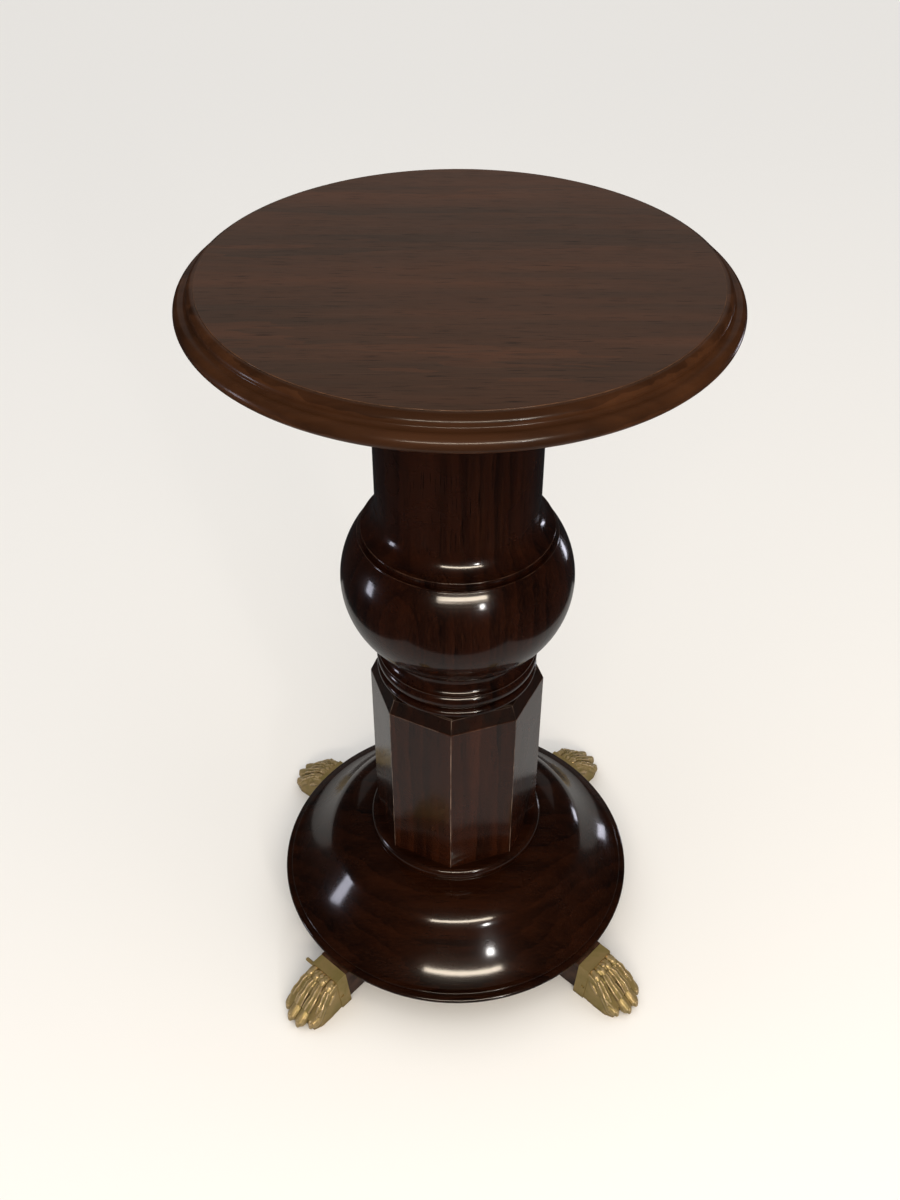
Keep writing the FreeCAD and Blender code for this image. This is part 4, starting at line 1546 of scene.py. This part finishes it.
@dataclass
class LionPaw:
    """Cast lion's paw cap: a plain collar, fur locks and four long toes."""

    brass: bpy.types.Material
    gap: float = 2.5 * MM
    length: float = 63.0 * MM
    width: float = 46.0 * MM
    top_width: float = 34.0 * MM
    height: float = 40.0 * MM
    collar: float = 13.0 * MM
    collar_step: float = 0.8 * MM
    grain: float = 0.42 * MM
    spacing: float = 0.22
    hull_shares: tuple[tuple[float, float, float], ...] = (
        (0.05, 0.97, 0.9), (0.26, 1.0, 0.9), (0.46, 1.03, 0.74), (0.66, 1.03, 0.5), (0.8, 0.88, 0.3))
    hull_soft: float = 1.6 * MM
    collar_soft: float = 0.7 * MM
    hole_depth: float = 3.0 * MM
    calm_rounds: int = 3
    mark_rounds: int = 30
    mark_depth: float = 0.36 * MM
    pin_inset: float = 10.0 * MM
    pin_height: float = 16.0 * MM
    pin_hole: float = 2.15 * MM

    @property
    def rear(self) -> float:
        """Place of the collar's rear edge along the foot.

        Returns:
            Its distance from the table's axis, before the foot is set in.
        """
        return reach("base_board") + self.gap

    def half_width(self, height: float) -> float:
        """Half the collar's width at a height above the floor.

        Args:
            height: the height.

        Returns:
            The half width.
        """
        return (self.width + (self.top_width - self.width) * height / self.height) / 2

    def ridge(self, clay: list[np.ndarray], rows: list[tuple[float, float, float, float]]) -> None:
        """Adds a ridge of balls along a bent line.

        Args:
            clay: rows of place and radius in metres, to add to.
            rows: along, across, up and radius of each bend, in millimetres.
        """
        for near, far in zip(rows, rows[1:]):
            here, there = np.array(near) * MM, np.array(far) * MM
            gap = np.linalg.norm(there[:3] - here[:3])
            count = max(2, int(gap / (self.spacing * max(here[3], there[3]))))
            clay += [here + (there - here) * step / count for step in range(count + 1)]

    def balls(self, clay: list[np.ndarray]) -> bpy.types.Mesh:
        """Turns the rows of clay into small balls.

        Args:
            clay: rows of place, from the middle of the collar's rear edge, and radius.

        Returns:
            One mesh of overlapping balls.
        """
        work = bmesh.new()
        bmesh.ops.create_icosphere(work, subdivisions=2, radius=1.0)
        corners = np.array([vertex.co[:] for vertex in work.verts])
        faces = np.array([[vertex.index for vertex in face.verts] for face in work.faces])
        work.free()
        places = np.array(clay)
        places[:, 0] += self.rear
        spots = places[:, None, :3] + corners[None] * places[:, 3][:, None, None]
        steps = np.arange(len(places))[:, None, None] * len(corners)
        mesh = bpy.data.meshes.new("balls")
        mesh.from_pydata(spots.reshape(-1, 3), [], (faces[None] + steps).reshape(-1, 3))
        return mesh

    def toe(self, clay: list[np.ndarray], index: int) -> None:
        """Adds one toe: knuckle, long finger, tip and blunt claw.

        Args:
            clay: the rows of balls to add to.
            index: 0 to 3 across the paw.
        """
        side = 2 * index / 3 - 1
        outer = side * side
        wobble = (0.5, -0.5, 0.6, -0.4)[index]
        tip = 55.6 - 8.5 * outer
        rows = [
            (15.0, side * 12.5, 35.6, 3.3),
            (19.5, side * 13.5, 35.4 - 1.5 * outer, 4.3),
            (23.5, side * 14.2, 32.6 - 1.5 * outer, 3.9),
            (28.0 - outer, side * 15.3 + wobble, 30.0 - 2.0 * outer, 5.1),
            (33.5 - 2.0 * outer, side * 16.0 + wobble, 25.2 - 2.0 * outer, 4.7),
            (39.5 - 4.0 * outer, side * 16.8 + wobble, 20.8 - 2.0 * outer, 5.9),
            (45.5 - 5.5 * outer, side * 17.0, 14.8 - 1.5 * outer, 5.8),
            (51.5 - 7.5 * outer, side * 17.2, 10.2 - outer, 6.5),
            (tip, side * 16.9, 7.4, 6.3),
        ]
        self.ridge(clay, rows)
        for lean in (-0.8, 0.0, 0.8):
            up, out = math.cos(lean), math.sin(lean)
            self.ridge(clay, [
                (along + 0.5 * radius * up, across + radius * out, height + 0.85 * radius * up, 1.1)
                for along, across, height, radius in rows[2:7]])
        self.ridge(clay, [
            (tip + 3.6, side * 16.9, 8.2, 3.4),
            (tip + 4.7, side * 16.9, 4.4, 2.5),
        ])

    def locks(self, clay: list[np.ndarray]) -> None:
        """Adds the short fur locks behind the toes and between them.

        Args:
            clay: the rows of balls to add to.
        """
        for index in range(5):
            side = index / 2 - 1
            lift = 1.5 * abs(side)
            sway = (0.8, -0.6, 0.4, -0.8, 0.5)[index]
            self.ridge(clay, [
                (14.4, side * 13.0, 36.6 - lift, 2.2),
                (17.4, side * 13.6 + sway, 37.0 - lift, 2.9),
                (21.0, side * 14.4 + sway, 35.6 - 1.3 * lift, 2.0),
            ])
        for index in range(3):
            side = index - 1
            sway = (0.5, -0.5, 0.3)[index]
            self.ridge(clay, [
                (23.0, side * 10.4 + sway, 33.2 - abs(side), 2.2),
                (27.5, side * 11.2 + sway, 31.2 - abs(side), 2.9),
                (33.0, side * 12.0, 26.2 - abs(side), 1.9),
            ])
            self.ridge(clay, [
                (35.0, side * 11.6 - sway, 22.4 - abs(side), 1.8),
                (39.0, side * 11.8 - sway, 18.6 - abs(side), 2.5),
                (43.5, side * 12.0, 13.4, 1.5),
            ])
        for side in (-1, 1):
            self.ridge(clay, [
                (16.0, side * 17.2, 28.0, 1.9),
                (21.0, side * 19.0, 25.4, 2.6),
                (27.0, side * 20.6, 20.6, 1.6),
            ])

    def hull(self) -> bpy.types.Mesh:
        """The smooth leaning body under the toes.

        Returns:
            A closed mesh.
        """
        sections = []
        for along, wide, high in self.hull_shares:
            low, top = wide * self.width / 2, wide * self.top_width / 2
            lift = high * self.height
            top = low + (top - low) * high * 0.95
            corners = [(-low, 0.0), (low, 0.0), (top, lift), (-top, lift)]
            sections.append((self.rear + along * self.length, corners))
        return soft_block(sections, self.hull_soft)

    def cast(self) -> bpy.types.Mesh:
        """Casts toes, locks and hull into one skin.

        Returns:
            The paw ahead of its collar, +X outwards.
        """
        clay: list[np.ndarray] = []
        for index in range(4):
            self.toe(clay, index)
        self.locks(clay)
        holder = bpy.data.objects.new("mould", joined([self.balls(clay), self.hull()]))
        bpy.context.scene.collection.objects.link(holder)
        skin = holder.modifiers.new("skin", "REMESH")
        skin.mode = "VOXEL"
        skin.voxel_size = self.grain
        calm = holder.modifiers.new("calm", "SMOOTH")
        calm.factor = 0.5
        calm.iterations = self.calm_rounds
        graph = bpy.context.evaluated_depsgraph_get()
        graph.update()
        mesh = bpy.data.meshes.new_from_object(holder.evaluated_get(graph), depsgraph=graph)
        bpy.data.objects.remove(holder)
        spots, _ = edge_pairs(mesh)
        spots[:, 2] = np.maximum(spots[:, 2], 0.0)
        mesh.vertices.foreach_set("co", spots.ravel())
        mark_use(facing_out(mesh), self.mark_rounds, self.mark_depth)
        return mesh

    def collar_block(self, lathe: Lathe) -> bpy.types.Mesh:
        """The plain collar with its two pin holes.

        Args:
            lathe: the lathe, for the drill.

        Returns:
            A closed mesh.
        """
        low = self.width / 2 + self.collar_step
        top = self.top_width / 2 + self.collar_step
        corners = [(-low, 0.0), (low, 0.0), (top, self.height), (-top, self.height)]
        block = soft_block([(self.rear, corners), (self.rear + self.collar, corners)], self.collar_soft)
        mark(block, "wear", [0.0] * len(block.vertices))
        depth = self.hole_depth
        drill = Outline(0.0, -depth).to(self.pin_hole, -depth).to(self.pin_hole, depth).to(0.0, depth)
        cutters = []
        for side in (-1, 1):
            out = self.half_width(self.pin_height) + self.collar_step
            spot = Vector((self.rear + self.pin_inset, side * out, self.pin_height))
            turn = Matrix.Rotation(math.pi / 2, 4, "X")
            cutters.append(placed(lathe.turn(drill, 32), Matrix.Translation(spot) @ turn))
        return drilled(block, cutters)

    def build(self, lathe: Lathe) -> None:
        """Makes the four caps from one casting.

        Args:
            lathe: the lathe, for the pin holes.
        """
        whole = joined([self.cast(), self.collar_block(lathe)])
        for foot in FEET:
            mesh = placed(whole, foot.matrix())
            name = "paw_cap_" + foot.name
            finished("lion_" + name, mesh, self.brass, [name])


@dataclass
class Feet:
    """Wooden feet under the base, with their screws and the caps' pins."""

    woods: dict[str, bpy.types.Material]
    brass: bpy.types.Material
    width: float = 41.0 * MM
    top_width: float = 36.0 * MM
    inner: float = 66.0 * MM
    edge: float = 1.3 * MM
    end_gap: float = 0.3 * MM
    screw_inset: float = 26.0 * MM
    pin_radius: float = 2.0 * MM
    pin_length: float = 12.0 * MM
    pin_sink: float = 0.6 * MM
    loose_cap: str = "front_left"
    loose_height: float = 31.0 * MM
    loose_proud: float = 13.0 * MM

    def screw_places(self, foot: FootPlace) -> list[Vector]:
        """Middles of one foot's two screw heads.

        Args:
            foot: the foot.

        Returns:
            The places.
        """
        _, low = top_and_floor("foot_screws")
        first = self.inner + self.screw_inset
        second = (first + reach("base_board")) / 2
        return [foot.matrix() @ Vector((radius, 0.0, low)) for radius in (first, second)]

    def build(self, lathe: Lathe, screws: Screws, paw: LionPaw) -> None:
        """Makes the feet, screws and pins.

        Args:
            lathe: the lathe.
            screws: the maker of screws.
            paw: the cap that the feet and pins fit.
        """
        places = []
        for foot in FEET:
            name = "foot_block_" + foot.name
            high, low = top_and_floor(name)
            base, top = self.width / 2, self.top_width / 2
            corners = [(-base, low), (base, low), (top, high), (-top, high)]
            ends = (self.inner, paw.rear - self.end_gap)
            mesh = soft_block([(end, corners) for end in ends], self.edge)
            mesh.transform(foot.matrix())
            mesh = drilled(mesh, [screws.sink(place, low) for place in self.screw_places(foot)])
            finished("wooden_" + name, mesh, self.woods[foot.name], [name])
            places += self.screw_places(foot)
        screws.set("foot_wood_screws", "foot_screws", places, 37)
        self.build_pins(lathe, screws, paw)

    def pin(self, lathe: Lathe, length: float) -> bpy.types.Object:
        """One pin with a slightly domed head at the origin, pointing up.

        Args:
            lathe: the lathe.
            length: its length.

        Returns:
            An object that isn't in the scene.
        """
        radius = self.pin_radius
        outline = Outline(0.0, -length).to(radius * 0.8, -length, 0.2 * MM)
        outline.to(radius, -length + MM, 0.2 * MM).to(radius, -0.45 * radius)
        outline.along(arc((radius, -0.45 * radius), (0.7 * radius, -0.12 * radius), (0.0, 0.0), 8))
        return bpy.data.objects.new("one pin", lathe.turn(outline, 40))

    def build_pins(self, lathe: Lathe, screws: Screws, paw: LionPaw) -> None:
        """Sets two pins in each cap; the front left's outer one stands proud.

        Args:
            lathe: the lathe.
            screws: holds the tree that sets fixings.
            paw: the cap that the pins go through.
        """
        driven, loose = [], []
        for foot in FEET:
            for side in (1, -1):
                proud = foot.name == self.loose_cap and side == -1
                height = self.loose_height if proud else paw.pin_height
                out = paw.half_width(height) - self.pin_sink + (self.loose_proud if proud else 0.0)
                spot = foot.matrix() @ Vector((paw.rear + paw.pin_inset, side * out, height))
                aim = foot.matrix().to_3x3() @ Vector((0.0, side, 0.0))
                (loose if proud else driven).append((spot, aim))
        meshes = []
        for rows, extra, seed in ((driven, 0.0, 41), (loose, self.loose_proud, 43)):
            points = bpy.data.meshes.new("pin places")
            points.from_pydata([tuple(spot) for spot, _ in rows], [], [])
            layer = points.attributes.new("aim", "FLOAT_VECTOR", "POINT")
            layer.data.foreach_set("vector", [value for _, aim in rows for value in aim])
            one = self.pin(lathe, self.pin_length + extra)
            settings = {"Fixing": one, "Seed": seed, "Finish": self.brass}
            meshes.append(run_tree(screws.tree, points, settings))
            bpy.data.objects.remove(one)
        finished("brass_cap_pins", joined(meshes), self.brass, ["cap_pins"])


# ------------------------------------------------------------------ studio
@dataclass(frozen=True)
class Softbox:
    """One studio light, placed round the table; some are seen only in gloss, some never in it."""

    name: str
    azimuth: float
    distance: float
    height: float
    size: tuple[float, float]
    watts: float
    colour: Colour
    aim_height: float = 0.4
    glossy_only: bool = False
    diffuse_only: bool = False

    def build(self) -> None:
        """Hangs the light, facing the column."""
        data = bpy.data.lights.new(self.name, "AREA")
        data.shape = "RECTANGLE"
        data.size, data.size_y = self.size
        data.energy = self.watts
        data.color = self.colour
        light = bpy.data.objects.new(self.name, data)
        turn = math.radians(self.azimuth)
        light.location = (self.distance * math.sin(turn), -self.distance * math.cos(turn), self.height)
        way = Vector((0.0, 0.0, self.aim_height)) - light.location
        light.rotation_euler = way.to_track_quat("-Z", "Y").to_euler()
        light.visible_camera = False
        light.visible_diffuse = not self.glossy_only
        light.visible_glossy = not self.diffuse_only
        bpy.context.scene.collection.objects.link(light)


@dataclass
class Studio:
    """Pale floor, soft light and the camera."""

    floor_half: float = 14.0
    eye: tuple[float, float, float] = (0.0, -0.857, 1.1499)
    pitch: float = 40.63
    yaw: float = -0.6
    lens: float = 36.65
    shift: float = 0.002
    daylight: float = 2.8
    daylight_spread: float = 120.0
    room_reflected: float = 0.02
    room_seen: float = 0.85
    softboxes: list[Softbox] = field(default_factory=lambda: [
        Softbox("small lamp", 23.0, 2.35, 1.06, (0.14, 0.14), 6.0, (1.0, 0.98, 0.95)),
        Softbox("long warm lamp", 5.0, 1.4, 1.1, (1.25, 0.12), 13.0, (1.0, 0.87, 0.7)),
        Softbox("left window", -86.0, 2.4, 0.25, (0.3, 0.45), 3.6, (0.84, 0.85, 1.0)),
        Softbox("right window", 131.0, 2.4, -0.12, (0.26, 0.36), 1.8, (0.86, 0.86, 1.0)),
        Softbox("right side fill", 72.0, 2.2, 0.8, (1.4, 1.4), 7.0, (1.0, 0.8, 0.56), diffuse_only=True),
        Softbox("near floor glow", 0.0, 0.0, 0.002, (1.0, 1.0), 0.85, (1.0, 0.96, 0.9), glossy_only=True),
        Softbox("rear wall glow", 180.0, 3.0, 1.8, (4.0, 1.5), 3.5, (1.0, 0.97, 0.93), glossy_only=True),
    ])

    def build(self) -> None:
        """Lays the floor, hangs the lights and sets up the camera."""
        half = self.floor_half
        mesh = bpy.data.meshes.new("studio_floor")
        corners = [(-half, -half, 0), (half, -half, 0), (half, half, 0), (-half, half, 0)]
        mesh.from_pydata(corners, [], [(0, 1, 2, 3)])
        mesh.materials.append(PaleFloor().build())
        floor = bpy.data.objects.new("studio_floor", mesh)
        bpy.context.scene.collection.objects.link(floor)
        floor.visible_glossy = False
        self.hang_dome()
        for box in self.softboxes:
            box.build()
        self.set_camera()

    def hang_dome(self) -> None:
        """Even soft light from above and a dim grey room."""
        data = bpy.data.lights.new("overhead diffuser", "SUN")
        data.energy = self.daylight
        data.angle = math.radians(self.daylight_spread)
        data.color = (1.0, 0.985, 0.96)
        light = bpy.data.objects.new("overhead diffuser", data)
        light.location = (0.0, 0.0, 3.0)
        light.visible_glossy = False
        bpy.context.scene.collection.objects.link(light)
        world = bpy.data.worlds.new("dim room")
        world.use_nodes = True
        back = world.node_tree.nodes["Background"]
        back.inputs["Color"].default_value = (0.93, 0.95, 1.0, 1.0)
        tree = world.node_tree
        seen = tree.nodes.new("ShaderNodeLightPath").outputs["Is Camera Ray"]
        strength = tree.nodes.new("ShaderNodeMapRange")
        strength.inputs["To Min"].default_value = self.room_reflected
        strength.inputs["To Max"].default_value = self.room_seen
        tree.links.new(seen, strength.inputs["Value"])
        tree.links.new(strength.outputs["Result"], back.inputs["Strength"])
        bpy.context.scene.world = world
        bpy.context.scene.view_settings.view_transform = "Standard"

    def set_camera(self) -> None:
        """Sets the camera where the table is seen from."""
        data = bpy.data.cameras.new("camera")
        data.lens = self.lens
        data.sensor_width = 36.0
        data.shift_x = self.shift
        data.clip_start = 0.05
        camera = bpy.data.objects.new("camera", data)
        camera.location = self.eye
        camera.rotation_euler = (math.radians(90 - self.pitch), 0.0, -math.radians(self.yaw))
        bpy.context.scene.collection.objects.link(camera)
        bpy.context.scene.camera = camera


# ------------------------------------------------------------------ the table
def column_finish(name: str, grain: Grain, turn: float = 0.0, **changes) -> Mahogany:
    """The dark high polish of column, base and feet.

    Args:
        name: the material's name.
        grain: the way its fibres run.
        turn: the figure's turn about the column.
        **changes: other fields to set.

    Returns:
        The finish.
    """
    values = dict(
        deep=(0.0018, 0.0005, 0.0003), warm=(0.021, 0.005, 0.0016), pale=(0.03, 0.009, 0.003),
        rubbed=(0.07, 0.035, 0.02), rough=(0.2, 0.32), coat=0.9, coat_rough=0.11,
        ripple=0.00012, turn=turn, streaks=0.35)
    values.update(changes)
    return Mahogany(name, grain, **values)


def build_table() -> None:
    """Builds every piece of the table."""
    top_wood = Mahogany(
        "satin mahogany", Grain.ACROSS, deep=(0.034, 0.022, 0.0155), warm=(0.074, 0.0325, 0.0185),
        pale=(0.078, 0.041, 0.026), rubbed=(0.16, 0.075, 0.035), rough=(0.3, 0.42), coat=0.35,
        coat_rough=0.15, ripple=0.00008, streaks=0.3, rim=(0.056, 0.0205, 0.0076),
        rim_from=reach("table_top") - TableTop.quirk_inset).build()
    bare = BareWood().build()
    brass = CastBrass().build()
    steel = AgedSteel().build()
    turned = column_finish("polished turned mahogany", Grain.UPRIGHT).build()
    # The planed finish's near-grey rubbed colour paints a highlight line along the octagon's arrises,
    # besides marking their wear.
    planed = column_finish("polished planed mahogany", Grain.UPRIGHT, 1.2,
                           warm=(0.036, 0.0085, 0.0027), rubbed=(0.36, 0.26, 0.2)).build()
    base_wood = column_finish(
        "polished base mahogany", Grain.ACROSS, deep=(0.0012, 0.0004, 0.0002),
        warm=(0.017, 0.0042, 0.0011), pale=(0.024, 0.0072, 0.0023)).build()
    lathe = Lathe()
    screws = Screws(lathe, steel)
    TableTop(top_wood).build(lathe)
    TopBearer(bare).build(lathe, screws)
    Column(turned, planed, bare).build(lathe)
    Base(base_wood).build(lathe, screws)
    paw = LionPaw(brass)
    paw.build(lathe)
    woods = {}
    for foot in FEET:
        turn = math.radians(foot.angle)
        woods[foot.name] = column_finish("foot mahogany " + foot.name, Grain.OUTWARD, turn,
                                         coat=0.3, rough=(0.3, 0.5)).build()
    Feet(woods, brass).build(lathe, screws, paw)


def main() -> None:
    """Builds the table and its studio."""
    logging.basicConfig(level=logging.INFO, format="%(name)s: %(message)s")
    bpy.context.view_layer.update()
    build_table()
    Studio().build()


if __name__ == "__main__":
    main()
